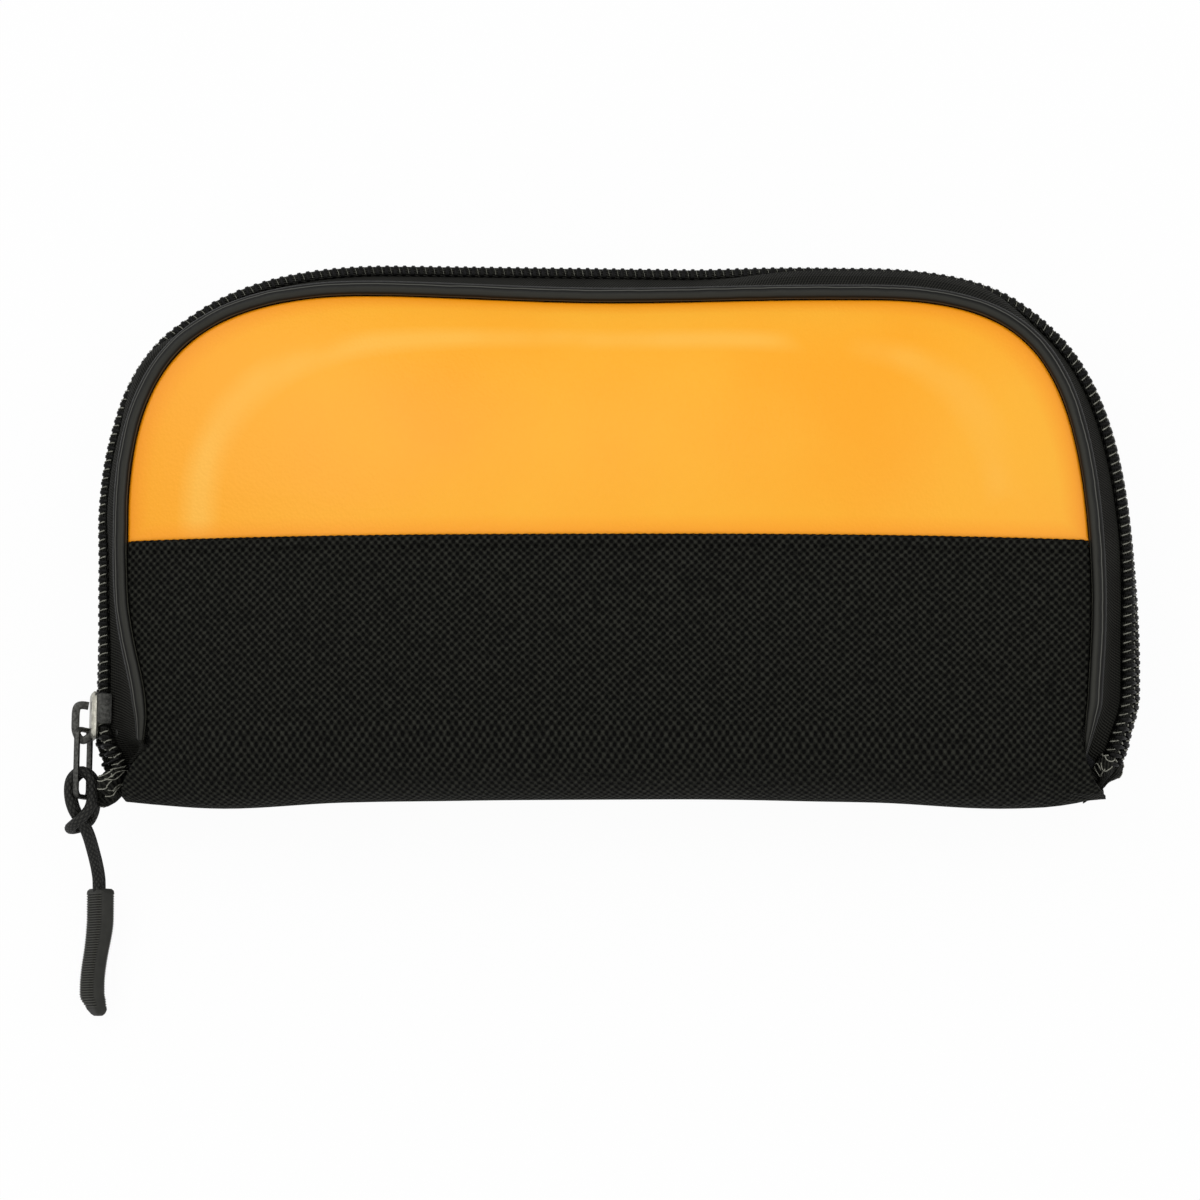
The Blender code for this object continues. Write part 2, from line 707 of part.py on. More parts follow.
# Half of the pull cord's route from the grip's mouth to the end of its loop, measured from the
# link's pivot: across, along and up. The other half is the same, with the last column reversed
# about the sag of the pair.
HALF_ROUTE = (
    (0.0013, -0.0350, 0.00135),
    (0.0013, -0.0315, 0.00135),
    (0.0010, -0.0270, 0.00135),
    (0.0003, -0.0220, 0.00135),
    (-0.0018, -0.0178, 0.00135),
    (-0.0026, -0.0142, 0.00135),
    (-0.0022, -0.0110, 0.00135),
    (0.0000, -0.0093, 0.00135),
    (0.0022, -0.0110, 0.00135),
    (0.0026, -0.0145, 0.00145),
    (0.0022, -0.0174, 0.0024),
    (0.0006, -0.0196, 0.0040),
    (-0.0015, -0.0210, 0.0036),
    (-0.0029, -0.0216, 0.0018),
    (-0.0033, -0.0217, 0.0),
)
CORD_SAG_START = -0.0150
CORD_SAG_END = -0.0350
CORD_SAG = 0.0136


def cord_route(pivot):
    """World points of the whole cord, the second half mirrored from the first"""
    def placed(across, along, up):
        sag = CORD_SAG * smooth((CORD_SAG_START - along) / (CORD_SAG_START - CORD_SAG_END))
        return Vector((pivot.x + across, pivot.y + along, pivot.z + up - sag))

    there = [placed(*point) for point in HALF_ROUTE]
    back = [placed(across, along, -up) for across, along, up in HALF_ROUTE[-2::-1]]
    return there + back


def smooth_route(points, spacing):
    """Points at an even spacing on a smooth curve through a route's points"""
    points = [2 * points[0] - points[1], *points, 2 * points[-1] - points[-2]]
    fine = []
    for a, b, c, d in zip(points, points[1:], points[2:], points[3:]):
        for step in range(12):
            t = step / 12
            fine.append(
                0.5 * (2 * b + (c - a) * t + (2 * a - 5 * b + 4 * c - d) * t**2 + (3 * b - a - 3 * c + d) * t**3)
            )
    fine = np.array(fine + [points[-2]])
    run = np.concatenate([[0], np.cumsum(np.linalg.norm(np.diff(fine, axis=0), axis=1))])
    even = np.linspace(0, run[-1], int(round(run[-1] / spacing)) + 1)
    return np.column_stack([np.interp(even, run, fine[:, axis]) for axis in range(3)])


def pull_cord(paint, parent, pivot):
    curve = bpy.data.curves.new("pull_cord", "CURVE")
    curve.dimensions = "3D"
    curve.bevel_depth = CORD_DIAMETER / 2
    curve.bevel_resolution = 2
    curve.use_fill_caps = True
    route = smooth_route(cord_route(pivot), CORD_POINT_SPACING)
    spline = curve.splines.new("POLY")
    spline.points.add(len(route) - 1)
    for point, place in zip(spline.points, route):
        point.co = (*place, 1)
    return add_object("pull_cord", curve, paint, parent)


def pull_grip(paint, parent, pivot):
    """Moulded grip: a rounded section that sways along its length and closes at its end"""
    mouth = Vector((HALF_ROUTE[0][0] + GRIP_SHIFT, HALF_ROUTE[0][1] - GAP, -CORD_SAG)) + pivot
    bm = bmesh.new()
    rows = []
    for share, scale in ((0, 0.9), (0.03, 1), (0.3, 1), (0.5, 0.93), (0.7, 0.92), (0.87, 0.95), (0.95, 0.8), (1, 0.45)):
        sway = GRIP_SWAY * (math.cos(math.pi * min(share / 0.75, 1)) - 1) + GRIP_SWAY / 2 * math.sin(math.pi * share)
        along = -GRIP_LENGTH * share
        row = []
        for step in range(10):
            angle = 2 * math.pi * step / 10
            wide = GRIP_WIDTH / 2 * scale * math.copysign(abs(math.cos(angle)) ** 0.7, math.cos(angle))
            thick = GRIP_THICKNESS / 2 * scale * math.copysign(abs(math.sin(angle)) ** 0.7, math.sin(angle))
            x = wide * math.cos(GRIP_ROLL) - thick * math.sin(GRIP_ROLL) + sway
            z = wide * math.sin(GRIP_ROLL) + thick * math.cos(GRIP_ROLL) + along * math.sin(GRIP_TILT)
            row.append(bm.verts.new(mouth + Vector((x, along * math.cos(GRIP_TILT), z))))
        rows.append(row)
    for row, next_row in zip(rows, rows[1:]):
        for i in range(10):
            j = (i + 1) % 10
            bm.faces.new((row[i], row[j], next_row[j], next_row[i]))
    bm.faces.new(rows[0])
    bm.faces.new(rows[-1])
    return add_object("pull_grip", mesh_from(bm, "pull_grip"), paint, parent)


def zip_half(prefix, side, parent, paints):
    """Tape, piping, binding, teeth and end tabs of one half"""
    runs = runs_above(ZIP_END_HEIGHT)
    strip(prefix + "_zip_tape", side, tape_profile, runs, TAPE_THICKNESS, paints["tape"], parent)
    runs = runs_above(BINDING_END_HEIGHT)
    strip(prefix + "_seam_binding", side, binding_profile, runs, BINDING_THICKNESS, paints["binding"], parent)
    piping(prefix + "_piping", side, paints["piping"], parent)
    zip_coil(prefix + "_zip_coil", side, paints["coil"], parent)
    zip_end(prefix + "_zip_end_left", side, False, paints["tape"], parent)
    zip_end(prefix + "_zip_end_right", side, True, paints["tape"], parent)


def flat_height(height):
    """Distance from the fold on the flat pattern of a height above the fold"""
    return height + QUARTER_TURN - HALF_DEPTH


def build():
    start_scene()
    paints = {
        "vinyl": material("orange_vinyl", (1.0, 0.43, 0.02), 0.45),
        "fabric": material("black_ballistic_fabric", (0.012, 0.012, 0.010), 0.85),
        "foam": material("grey_foam", (0.12, 0.12, 0.12), 0.95),
        "lining": material("black_lining", (0.02, 0.02, 0.022), 0.9),
        "piping": material("black_piping", (0.03, 0.03, 0.03), 0.3),
        "tape": material("black_zip_tape", (0.014, 0.014, 0.013), 0.8),
        "coil": material("black_zip_coil", (0.02, 0.02, 0.02), 0.4),
        "binding": material("black_binding", (0.02, 0.02, 0.02), 0.85),
        "metal": material("grey_metal", (0.42, 0.41, 0.40), 0.35, 1.0),
        "cord": material("black_cord", (0.015, 0.015, 0.014), 0.75),
        "rubber": material("black_rubber", (0.04, 0.04, 0.038), 0.6),
        "elastic": material("black_elastic", (0.02, 0.02, 0.02), 0.8),
    }
    full_rings = (*PANEL_RINGS, 1.0)
    seam = flat_height(SEAM_HEIGHT)
    hinge = add_empty("lid_hinge", (0, FOLD_Y - FOLD_BULGE, ZIP_MIDDLE))

    sheet_layer(
        "front_vinyl_panel", FRONT, FABRIC_THICKNESS - VINYL_THICKNESS, VINYL_THICKNESS,
        paints["vinyl"], hinge, full_rings, low=seam + GAP,
    )
    sheet_layer(
        "front_fabric_panel", FRONT, 0.0, FABRIC_THICKNESS, paints["fabric"], hinge, full_rings, high=seam
    )
    foam_layer("front_foam_pad", FRONT, paints["foam"], hinge)
    sheet_layer("front_lining", FRONT, LINING_DEPTH, LINING_THICKNESS, paints["lining"], hinge)
    pocket_top = flat_height(POCKET_HEIGHT)
    sheet_layer(
        "inner_pocket", FRONT, POCKET_DEPTH, LINING_THICKNESS, paints["lining"], hinge, POCKET_RINGS,
        high=pocket_top,
    )
    sheet_layer(
        "pocket_elastic", FRONT, POCKET_DEPTH, BINDING_THICKNESS * 2, paints["elastic"], hinge, POCKET_RINGS,
        low=pocket_top + GAP, high=pocket_top + POCKET_BAND,
    )
    zip_half("front", FRONT, hinge, paints)

    sheet_layer("back_fabric_panel", BACK, 0.0, FABRIC_THICKNESS, paints["fabric"], None, full_rings)
    foam_layer("back_foam_pad", BACK, paints["foam"], None)
    sheet_layer("back_lining", BACK, LINING_DEPTH, LINING_THICKNESS, paints["lining"], None)
    zip_half("back", BACK, None, paints)

    slider_place = Vector((-WALL_HALF_WIDTH, FOLD_Y + SLIDER_HEIGHT, ZIP_MIDDLE))
    track = add_empty("slider_track", slider_place)
    slider_body(paints["metal"], track, slider_place)
    outer_face = slider_sizes()[2]
    pivot_out = outer_face + (HOOK_REACH - HOOK_BAR_RADIUS) / 2
    pivot = slider_place + Vector((-pivot_out, -0.0030, 0))
    puller = add_empty("puller_pivot", pivot, track)
    puller_link(paints["metal"], puller, pivot)
    loop = add_empty("pull_pivot", pivot - Vector((0, LINK_LENGTH - LINK_BAR, 0)), puller)
    pull_cord(paints["cord"], loop, pivot)
    pull_grip(paints["rubber"], loop, pivot)


build()
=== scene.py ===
"""Looks of a padded case for a hand-held meter: woven front, grained vinyl, piping, zip and pull."""

import math

import bmesh
import bpy
import numpy as np
from mathutils import Matrix, Vector

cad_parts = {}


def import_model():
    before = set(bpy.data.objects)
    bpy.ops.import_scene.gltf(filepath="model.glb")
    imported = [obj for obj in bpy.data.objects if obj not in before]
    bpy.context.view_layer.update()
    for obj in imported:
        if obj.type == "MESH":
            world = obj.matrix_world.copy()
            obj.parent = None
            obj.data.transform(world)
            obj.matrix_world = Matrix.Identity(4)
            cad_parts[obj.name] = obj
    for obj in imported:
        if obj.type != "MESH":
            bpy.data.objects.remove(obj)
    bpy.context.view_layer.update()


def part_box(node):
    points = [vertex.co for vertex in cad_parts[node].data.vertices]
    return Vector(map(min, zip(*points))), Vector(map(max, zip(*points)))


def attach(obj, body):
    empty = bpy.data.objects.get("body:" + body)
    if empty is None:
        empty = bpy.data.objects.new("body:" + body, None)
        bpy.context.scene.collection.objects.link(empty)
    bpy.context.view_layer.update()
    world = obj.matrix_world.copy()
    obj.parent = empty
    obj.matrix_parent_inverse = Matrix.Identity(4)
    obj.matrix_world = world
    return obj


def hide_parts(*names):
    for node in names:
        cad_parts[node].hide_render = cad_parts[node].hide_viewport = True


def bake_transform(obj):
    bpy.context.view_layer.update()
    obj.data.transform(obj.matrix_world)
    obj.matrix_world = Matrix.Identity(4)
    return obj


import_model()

# Sizes of the solids, in metres, as in the part's source
GAP = 0.0003
WALL_HALF_WIDTH = 0.1121
WALL_HEIGHT = 0.1161
TOP_FALL = 0.0022
LEFT_FLAT = 0.0485
RIGHT_FLAT = 0.0560
LEFT_CORNER_START = 0.0600
RIGHT_CORNER_START = 0.0265
LEFT_FULLNESS = 0.69
RIGHT_FULLNESS = 0.77
LEFT_FOOT_HEIGHT = 0.0125
RIGHT_FOOT_HEIGHT = 0.0220
FOOT_FULLNESS = 0.60
FOOT_APEX = 0.50
HALF_DEPTH = 0.0150
FRONT_CROWN = 0.0120
BACK_CROWN = 0.0040
CROWN_POWER = 2.6
REST_FACE_SHARE = 0.74
FOLD_SLIT = 0.0005
FOLD_RISE_MIDDLE = 0.0100
FOLD_RISE_SPREAD = 0.0500
FOLD_RISE_REACH = 0.0300
FABRIC_THICKNESS = 0.0008
VINYL_THICKNESS = 0.0004
LINING_THICKNESS = 0.0006
SEAM_HEIGHT = 0.0555
PIPING_RADIUS = 0.00165
PIPING_INSET = 0.0046
PIPING_DROP = 0.0004
PIPING_END_HEIGHT = 0.0070
PIPING_END_SHARE = 0.30
FOOT_RISE = 0.0140
FOOT_INSET_SHARE = 0.05
PUCKER_HEIGHT = 0.0165
PUCKER_SPREAD = 0.0184
LEFT_PUCKER = 0.0054
LEFT_CORNER_EASE = 0.0009
RIGHT_CORNER_EASE = 0.0012
TOP_SAG = 0.0011
TOP_SAG_MIDDLE = -0.0035
TOP_SAG_SPREAD = 0.0340
TAPE_THICKNESS = 0.0008
TAPE_FLANGE = 0.0020
BINDING_THICKNESS = 0.0007
BINDING_END_HEIGHT = 0.0120
ZIP_END_HEIGHT = 0.0040
TOOTH_PITCH = 0.00195
SLIDER_LENGTH = 0.0104
SLIDER_HEIGHT = 0.0184
RIM_LENGTH = 0.0067
RIM_THICKNESS = 0.0012
DIVIDER_LENGTH = 0.0023
DIVIDER_HALF_WIDTH = 0.0013
HOOK_LENGTH = 0.0084
LINK_LENGTH = 0.0160
LINK_HALF_WIDTH = 0.0039
LINK_BAR = 0.0011
LINK_THICKNESS = 0.0013
LINK_TWIST = math.radians(-12)
CORD_DIAMETER = 0.0024
GRIP_WIDTH = 0.0070
GRIP_THICKNESS = 0.0045
GRIP_TILT = math.radians(4)
GRIP_SHIFT = 0.0003
POCKET_HEIGHT = 0.0580
POCKET_BAND = 0.0045
CORNER_SOFTNESS = 1.6

# Sizes that the source works out from others, rounded
FOLD_HALF_WIDTH = 0.1070
LINING_DEPTH = 0.0067
POCKET_DEPTH = 0.0083
ELASTIC_THICKNESS = 0.0014
TAPE_EDGE = 0.0016
COIL_TOP = 0.0029
SPREAD = 0.0022
SLIDER_HALF_WIDTH = 0.0052
SLIDER_OUTER_LOW = 0.0032
SLIDER_OUTER_FACE = 0.0041
SLIDER_INNER_HIGH = 0.0012
SLIDER_INNER_FACE = 0.0021
HOOK_BAR = 0.0018

# Sizes fitted to the photograph more closely than in the solids, and those of finer details
RIGHT_PUCKER = 0.0012
FOLD_RISE = 0.0016
LINING_SEAM_DEPTH = 0.0010
TAPE_UPRIGHT = 0.0038
RIGHT_TEETH_END = 0.0085
RIM_CLEARANCE = 0.0002
RIM_SLANT = 0.0004
PLATE_LOW = 0.0026
HOOK_DEPTH = 0.0020
HOOK_REACH = 0.0033
GRIP_LENGTH = 0.0283
GRIP_ROLL = math.radians(49)
GRIP_RISE = 0.0008
LINING_REACH = 0.996
POCKET_REACH = 0.76
FOLD_STRIP_HALF = 0.0046
FOLD_STRIP_THICKNESS = 0.0005
CORE_OUTWARD = 0.00116
CORE_DEPTH = 0.00215
CORE_RADIUS = 0.00136
END_THREAD_RADIUS = 0.00013

FRONT, BACK = 1, -1
BODIES = {FRONT: "front_half", BACK: "back_half"}
ZIP_MIDDLE = HALF_DEPTH + BACK_CROWN
FOLD_Y = -(WALL_HEIGHT + COIL_TOP) / 2
QUARTER_TURN = HALF_DEPTH * math.pi / 2
PANEL_INSET = PIPING_INSET + PIPING_RADIUS + GAP

# Fineness of the surfaces
CORNER_STATIONS = 60
WALL_STATIONS = 190
FOLD_STATIONS = 60
THREAD_SIDES = 6
BAR_SIDES = 14
PANEL_RINGS = (*np.linspace(0.05, 0.962, 25), 0.984, 0.995, 1.0)

# Details of the cloth
FOLD_DROOP = 0.0009
FOLD_DROOP_MIDDLE = 0.0840
FOLD_DROOP_SPREAD = 0.0260
LEFT_DROOP = 0.0008
LEFT_DROOP_MIDDLE = -0.0900
LEFT_DROOP_SPREAD = 0.0480
CORNER_LIFT = 0.0011
CORNER_LIFT_START = 0.0960
CORNER_LIFT_LENGTH = 0.0110
CORNER_LIFT_DEPTH = 0.0120
LEFT_TUCK = 0.0062
LEFT_TUCK_HEIGHT = 0.0066
LEFT_TUCK_SPREAD = 0.0042
RIGHT_TUCK = 0.0015
RIGHT_TUCK_HEIGHT = 0.0060
RIGHT_TUCK_SPREAD = 0.0050
CORNER_FLARE = 0.0019
CORNER_FLARE_HEIGHT = 0.0032
TOP_EASE = 0.0004
TOP_EASE_RIGHT = 0.0004
TOP_EASE_LENGTH = 0.0600
YARN = 0.00086
PIPING_SHOWN_TO = 0.0080
PIPING_HELD_FROM = 0.0170
PIPING_TAIL = 0.0050
PIPING_TAIL_SINK = 0.0026
HEM_WIDTH = 0.0020
HEM_RISE = 0.00035
HEM_GROOVE = 0.0014
VINYL_TUCK = 0.0015
VINYL_DIVE = 0.0005
CREASE_X = -0.0960
CREASE_W = 0.0200
CREASE_LEAN = 0.55
CREASE_WIDTH = 0.0075
CREASE_LENGTH = 0.0200
CREASE_DEPTH = 0.0008
SEAM_REACH = 0.992
YARN_LIFT = 0.00005
YARN_RADIUS = 0.00022
STITCH_RADIUS = 0.00015
LEFT_FACE_STITCH_RADIUS = 0.00013
RIGHT_FACE_STITCH_RADIUS = 0.00018

# Roll of the zip's edge about its middle, where the padding turns it to the front
CHAIN_ROLL = math.radians(16)
ROLL_TOP = 0.0240
ROLL_FADE = 0.0300
RIGHT_ROLL = math.radians(15)
RIGHT_ROLL_TOP = 0.0300
BACK_ROLL_START = 0.0095
BACK_ROLL_FADE = 0.0040

# Along the top and its corners the edge turns away from the front
AWAY_ROLL = math.radians(-32)
AWAY_START = 0.0700
AWAY_FADE = 0.0100
AWAY_LEFT_MIDDLE = -0.1035
AWAY_LEFT_SPREAD = 0.0100
AWAY_SIDE_SHARE = 0.35
AWAY_SIDE_START = 0.0500
AWAY_SIDE_FADE = 0.0140
AWAY_SIDE_EDGE = 0.0030
AWAY_RIGHT_START = 0.0150
AWAY_RIGHT_RISE = 0.0300
AWAY_RIGHT_END = 0.0780
AWAY_RIGHT_FALL = 0.0180

# Turn and place of the zip's two ends
LEFT_END_ROLL = math.radians(38)
LEFT_END_START = 0.0165
LEFT_END_LENGTH = 0.0110
RIGHT_END_ROLL = math.radians(26)
RIGHT_END_START = 0.0190
RIGHT_END_LENGTH = 0.0150
FOOT_PULL = 0.0013
FOOT_PULL_START = 0.0240
FOOT_PULL_LENGTH = 0.0100
END_PULL = 0.0032
END_PULL_START = 0.0050
END_BUNCH = (-0.0016, 0.0002)
END_BUNCH_START = 0.0095
END_FOOT = 0.0004
LEFT_END_TOP = 0.0056
RIGHT_END_TOP = 0.0104
ROLL_DEPTH = 0.0052
ROLL_DEPTH_FADE = 0.0060

# Ribs of the grip
RIB_PITCH = 0.00056
RIB_DEPTH = 0.00030

CENTIMETRE = 0.01


def smooth(t):
    """Eased step from 0 to 1, for a number or an array"""
    t = np.clip(t, 0.0, 1.0)
    return t * t * (3 - 2 * t)


def bump(t):
    """Rounded hump: 1 at t = 0, 0 from t = 1 outwards on both sides"""
    return smooth(1 - np.abs(t))


def bell(t):
    """Bell curve: 1 at t = 0, falling evenly to both sides"""
    return np.exp(-(t**2))


def circle(count):
    """Even angles once round"""
    return np.linspace(0, 2 * math.pi, count, endpoint=False)


def squared(angle, power):
    """Cosine and sine of angles, pushed out from a circle toward a square"""
    return [np.sign(wave) * np.abs(wave) ** power for wave in (np.cos(angle), np.sin(angle))]


def run_of(points):
    """Length along a row of points, from its first one to each"""
    return np.concatenate([[0], np.cumsum(np.linalg.norm(np.diff(points, axis=0), axis=1))])


def at_runs(even, run, points):
    """Points at some lengths along a row of points"""
    return np.column_stack([np.interp(even, run, axis) for axis in points.T])


# Outline of the case


def bezier_corner(start, apex, end, fullness):
    """Curve from start to end that leaves and arrives along the lines to the apex"""
    start, apex, end = (np.array(point) for point in (start, apex, end))
    first = start + fullness * (apex - start)
    second = end + fullness * (apex - end)
    t = np.linspace(0, 1, CORNER_STATIONS)[:, None]
    return (1 - t) ** 3 * start + 3 * (1 - t) ** 2 * t * first + 3 * (1 - t) * t**2 * second + t**3 * end


def top_point(x):
    """Point of the top edge, which falls a little to the right"""
    return x, WALL_HEIGHT - TOP_FALL * (x + LEFT_FLAT) / (LEFT_FLAT + RIGHT_FLAT)


def zip_line():
    """Outer face of the tape at half depth, from the left end of the fold round to the right"""
    side, left, right = WALL_HALF_WIDTH, LEFT_FOOT_HEIGHT, RIGHT_FOOT_HEIGHT
    corners = (
        ((-FOLD_HALF_WIDTH, 0), (-side, left * FOOT_APEX), (-side, left), FOOT_FULLNESS),
        ((-side, LEFT_CORNER_START), top_point(-side), top_point(-LEFT_FLAT), LEFT_FULLNESS),
        (top_point(RIGHT_FLAT), top_point(side), (side, RIGHT_CORNER_START), RIGHT_FULLNESS),
        ((side, right), (side, right * FOOT_APEX), (FOLD_HALF_WIDTH, 0), FOOT_FULLNESS),
    )
    rough = np.concatenate([bezier_corner(*corner) for corner in corners])
    run = run_of(rough)
    even = np.linspace(0, run[-1], 3000)
    return even, at_runs(even, run, rough)


RUN, LINE = zip_line()
ALONG = np.gradient(LINE, RUN, axis=0)
OUTWARD = np.column_stack([-ALONG[:, 1], ALONG[:, 0]])
HALF_RUN = RUN[-1] / 2


def on_zip_line(run, outward=0.0):
    """Plan points at runs along the zip line, moved outward"""
    return at_runs(run, RUN, LINE) + np.reshape(outward, (-1, 1)) * at_runs(run, RUN, OUTWARD)


def run_at_height(height, right=False):
    """Run along the zip line at which its left or right side passes a height over the fold"""
    third = len(RUN) // 3
    if right:
        return float(np.interp(height, LINE[::-1, 1][:third], RUN[::-1][:third]))
    return float(np.interp(height, LINE[:third, 1], RUN[:third]))


def seam_depth(height):
    """Depth of a panel's seam from the zip's middle, which falls off round the fold"""
    return np.sqrt(np.maximum(HALF_DEPTH**2 - np.maximum(HALF_DEPTH - height, 0.0) ** 2, 0.0))


def panel_inset(run):
    """Inset of a panel's edge from the zip line: more where the zip's ends draw it in and where the
    top sags, less round the two corners, and least at the fold"""
    x, height = on_zip_line(run).T
    across, up = at_runs(run, RUN, OUTWARD).T
    up = np.maximum(up, 0.0)
    pucker = np.where(x < 0, LEFT_PUCKER, RIGHT_PUCKER) * bell((height - PUCKER_HEIGHT) / PUCKER_SPREAD)
    sag = TOP_SAG * up * bell((x - TOP_SAG_MIDDLE) / TOP_SAG_SPREAD)
    ease = np.where(x < 0, LEFT_CORNER_EASE, RIGHT_CORNER_EASE) * 2 * np.abs(across) * up
    share = FOOT_INSET_SHARE + (1 - FOOT_INSET_SHARE) * smooth(height / FOOT_RISE)
    left = LEFT_TUCK * bell((height - LEFT_TUCK_HEIGHT) / LEFT_TUCK_SPREAD)
    right = RIGHT_TUCK * bell((height - RIGHT_TUCK_HEIGHT) / RIGHT_TUCK_SPREAD)
    flare = CORNER_FLARE * (1 - smooth(height / CORNER_FLARE_HEIGHT))
    ease = ease + up * (TOP_EASE + TOP_EASE_RIGHT * smooth(x / TOP_EASE_LENGTH))
    return (PANEL_INSET + pucker + sag - ease) * share + np.where(x < 0, left, right) - flare


def piping_share(run):
    """Share of its full radius that the piping has, less toward its ends"""
    height = on_zip_line(run)[:, 1]
    return PIPING_END_SHARE + (1 - PIPING_END_SHARE) * smooth((height - PIPING_END_HEIGHT) / FOOT_RISE)


def piping_centre(run):
    """Outward offset and depth of the piping at runs along the zip line"""
    slope = (panel_inset(run + GAP) - panel_inset(run - GAP)) / (2 * GAP)
    beside = (PIPING_RADIUS * piping_share(run) + GAP / 2) * np.hypot(1, slope)
    outward = -np.maximum(panel_inset(run) - beside, 0.0)
    return outward, seam_depth(on_zip_line(run, outward)[:, 1]) - PIPING_DROP


def edge_roll(run, side):
    """Angle by which the zip's edge is turned at runs along it"""
    x, height = on_zip_line(run).T
    left = np.asarray(run) < HALF_RUN
    upper = smooth((height - AWAY_START) / AWAY_FADE)
    at_side = smooth((height - AWAY_SIDE_START) / AWAY_SIDE_FADE)
    at_side = at_side * smooth((AWAY_LEFT_MIDDLE - x) / AWAY_SIDE_EDGE)
    at_corner = bump((x - AWAY_LEFT_MIDDLE) / AWAY_LEFT_SPREAD) * upper
    away_left = np.maximum(AWAY_SIDE_SHARE * at_side, at_corner)
    away_right = smooth((x - AWAY_RIGHT_START) / AWAY_RIGHT_RISE)
    away_right = away_right * (1 - smooth((x - AWAY_RIGHT_END) / AWAY_RIGHT_FALL))
    away = np.where(left, away_left, away_right * upper)
    chain = np.where(
        left,
        CHAIN_ROLL * (1 - smooth((height - ROLL_TOP) / ROLL_FADE)),
        RIGHT_ROLL * (1 - smooth((height - RIGHT_ROLL_TOP) / ROLL_FADE)),
    ) + AWAY_ROLL * away
    if side == BACK:
        return chain * smooth((height - BACK_ROLL_START) / BACK_ROLL_FADE)
    end = np.where(
        left,
        LEFT_END_ROLL * smooth((LEFT_END_START - height) / LEFT_END_LENGTH),
        RIGHT_END_ROLL * smooth((RIGHT_END_START - height) / RIGHT_END_LENGTH),
    )
    return chain + end


def end_shift(run):
    """How far the zip's ends lie off the zip line: drawn in on the right, bunched on the left"""
    height = on_zip_line(run)[:, 1]
    left = np.asarray(run) < HALF_RUN
    pull = FOOT_PULL * smooth((FOOT_PULL_START - height) / FOOT_PULL_LENGTH)
    pull = pull + END_PULL * smooth((END_PULL_START - height) / END_PULL_START)
    bunch = smooth((END_BUNCH_START - height) / END_BUNCH_START)
    return np.where(left, END_BUNCH[0] * bunch, -pull), np.where(left, END_BUNCH[1] * bunch**2, 0.0)


def wall_points(run, outward, depth, side):
    """World points from runs along the zip line, outward offsets and depths from its middle"""
    run, outward, depth = np.broadcast_arrays(np.atleast_1d(run), outward, depth)
    turn = edge_roll(run, side) * (1 - smooth((depth - ROLL_DEPTH) / ROLL_DEPTH_FADE))
    rolled = outward * np.cos(turn) - side * depth * np.sin(turn)
    plan = on_zip_line(run, rolled) + np.column_stack(end_shift(run))
    z = ZIP_MIDDLE + side * depth * np.cos(turn) + outward * np.sin(turn)
    return np.column_stack([plan[:, 0], plan[:, 1] + FOLD_Y, z])


TURNED = np.concatenate([[0], np.cumsum(np.abs(np.diff(np.unwrap(np.arctan2(ALONG[:, 1], ALONG[:, 0])))))])
MEASURE = RUN / RUN[-1] + 0.7 * TURNED / TURNED[-1]


def stations(first, last, count):
    """Runs along the zip line, closer together where it turns"""
    ends = np.interp((first, last), RUN, MEASURE)
    return np.interp(np.linspace(*ends, count + 1), MEASURE, RUN)


def runs_above(low, count, right_low=None):
    """Stations from a height on the left side round to the same, or another, on the right"""
    return stations(run_at_height(low), run_at_height(right_low or low, True), count)


def flat_outline():
    """Edge of a panel before it is bent round the fold: x, and the distance from the fold"""
    run = stations(0, RUN[-1], WALL_STATIONS)
    x, y = on_zip_line(run, -panel_inset(run)).T
    bent_part = HALF_DEPTH * np.arccos(1 - np.clip(y, 0, HALF_DEPTH) / HALF_DEPTH)
    w = np.maximum(np.where(y < HALF_DEPTH, bent_part, y + QUARTER_TURN - HALF_DEPTH), FOLD_SLIT)
    w[0] = w[-1] = FOLD_SLIT
    bottom = np.linspace(x[-1], x[0], FOLD_STATIONS + 1)[1:-1]
    return np.column_stack([np.append(x, bottom), np.append(w, np.full(len(bottom), FOLD_SLIT))])


FLAT_OUTLINE = flat_outline()
FLAT_MIDDLE = FLAT_OUTLINE[:, 1].max() / 2
SEAM = SEAM_HEIGHT + QUARTER_TURN - HALF_DEPTH
POCKET_TOP = POCKET_HEIGHT + QUARTER_TURN - HALF_DEPTH


def crown(share, side):
    """Rise of a panel over its seam, from its edge (share 1) to its middle (share 0)"""
    if side == FRONT:
        return FRONT_CROWN * (1 - share**CROWN_POWER)
    return BACK_CROWN * (1 - smooth((share - REST_FACE_SHARE) / (1 - REST_FACE_SHARE)))


def fold_lift(x, w):
    """How far the middle of the fold stands up from the line between its ends"""
    lift = FOLD_RISE * bell((x - FOLD_RISE_MIDDLE) / FOLD_RISE_SPREAD)
    droop = FOLD_DROOP * bump((np.abs(x) - FOLD_DROOP_MIDDLE) / FOLD_DROOP_SPREAD)
    droop = droop + LEFT_DROOP * bump((x - LEFT_DROOP_MIDDLE) / LEFT_DROOP_SPREAD)
    corner = CORNER_LIFT * smooth((x - CORNER_LIFT_START) / CORNER_LIFT_LENGTH)
    corner = corner * (1 - smooth(w / CORNER_LIFT_DEPTH))
    return (lift - droop) * (1 - smooth(w / FOLD_RISE_REACH)) + corner


def bent(x, w, rise, side):
    """World points of a flat pattern's points, bent round the fold and raised along its normal"""
    turn = np.minimum(w / HALF_DEPTH, math.pi / 2)
    reach = HALF_DEPTH + rise
    y = HALF_DEPTH - reach * np.cos(turn) + np.maximum(w - QUARTER_TURN, 0.0) + fold_lift(x, w)
    return np.column_stack([x, y + FOLD_Y, ZIP_MIDDLE + side * reach * np.sin(turn)])


# Materials


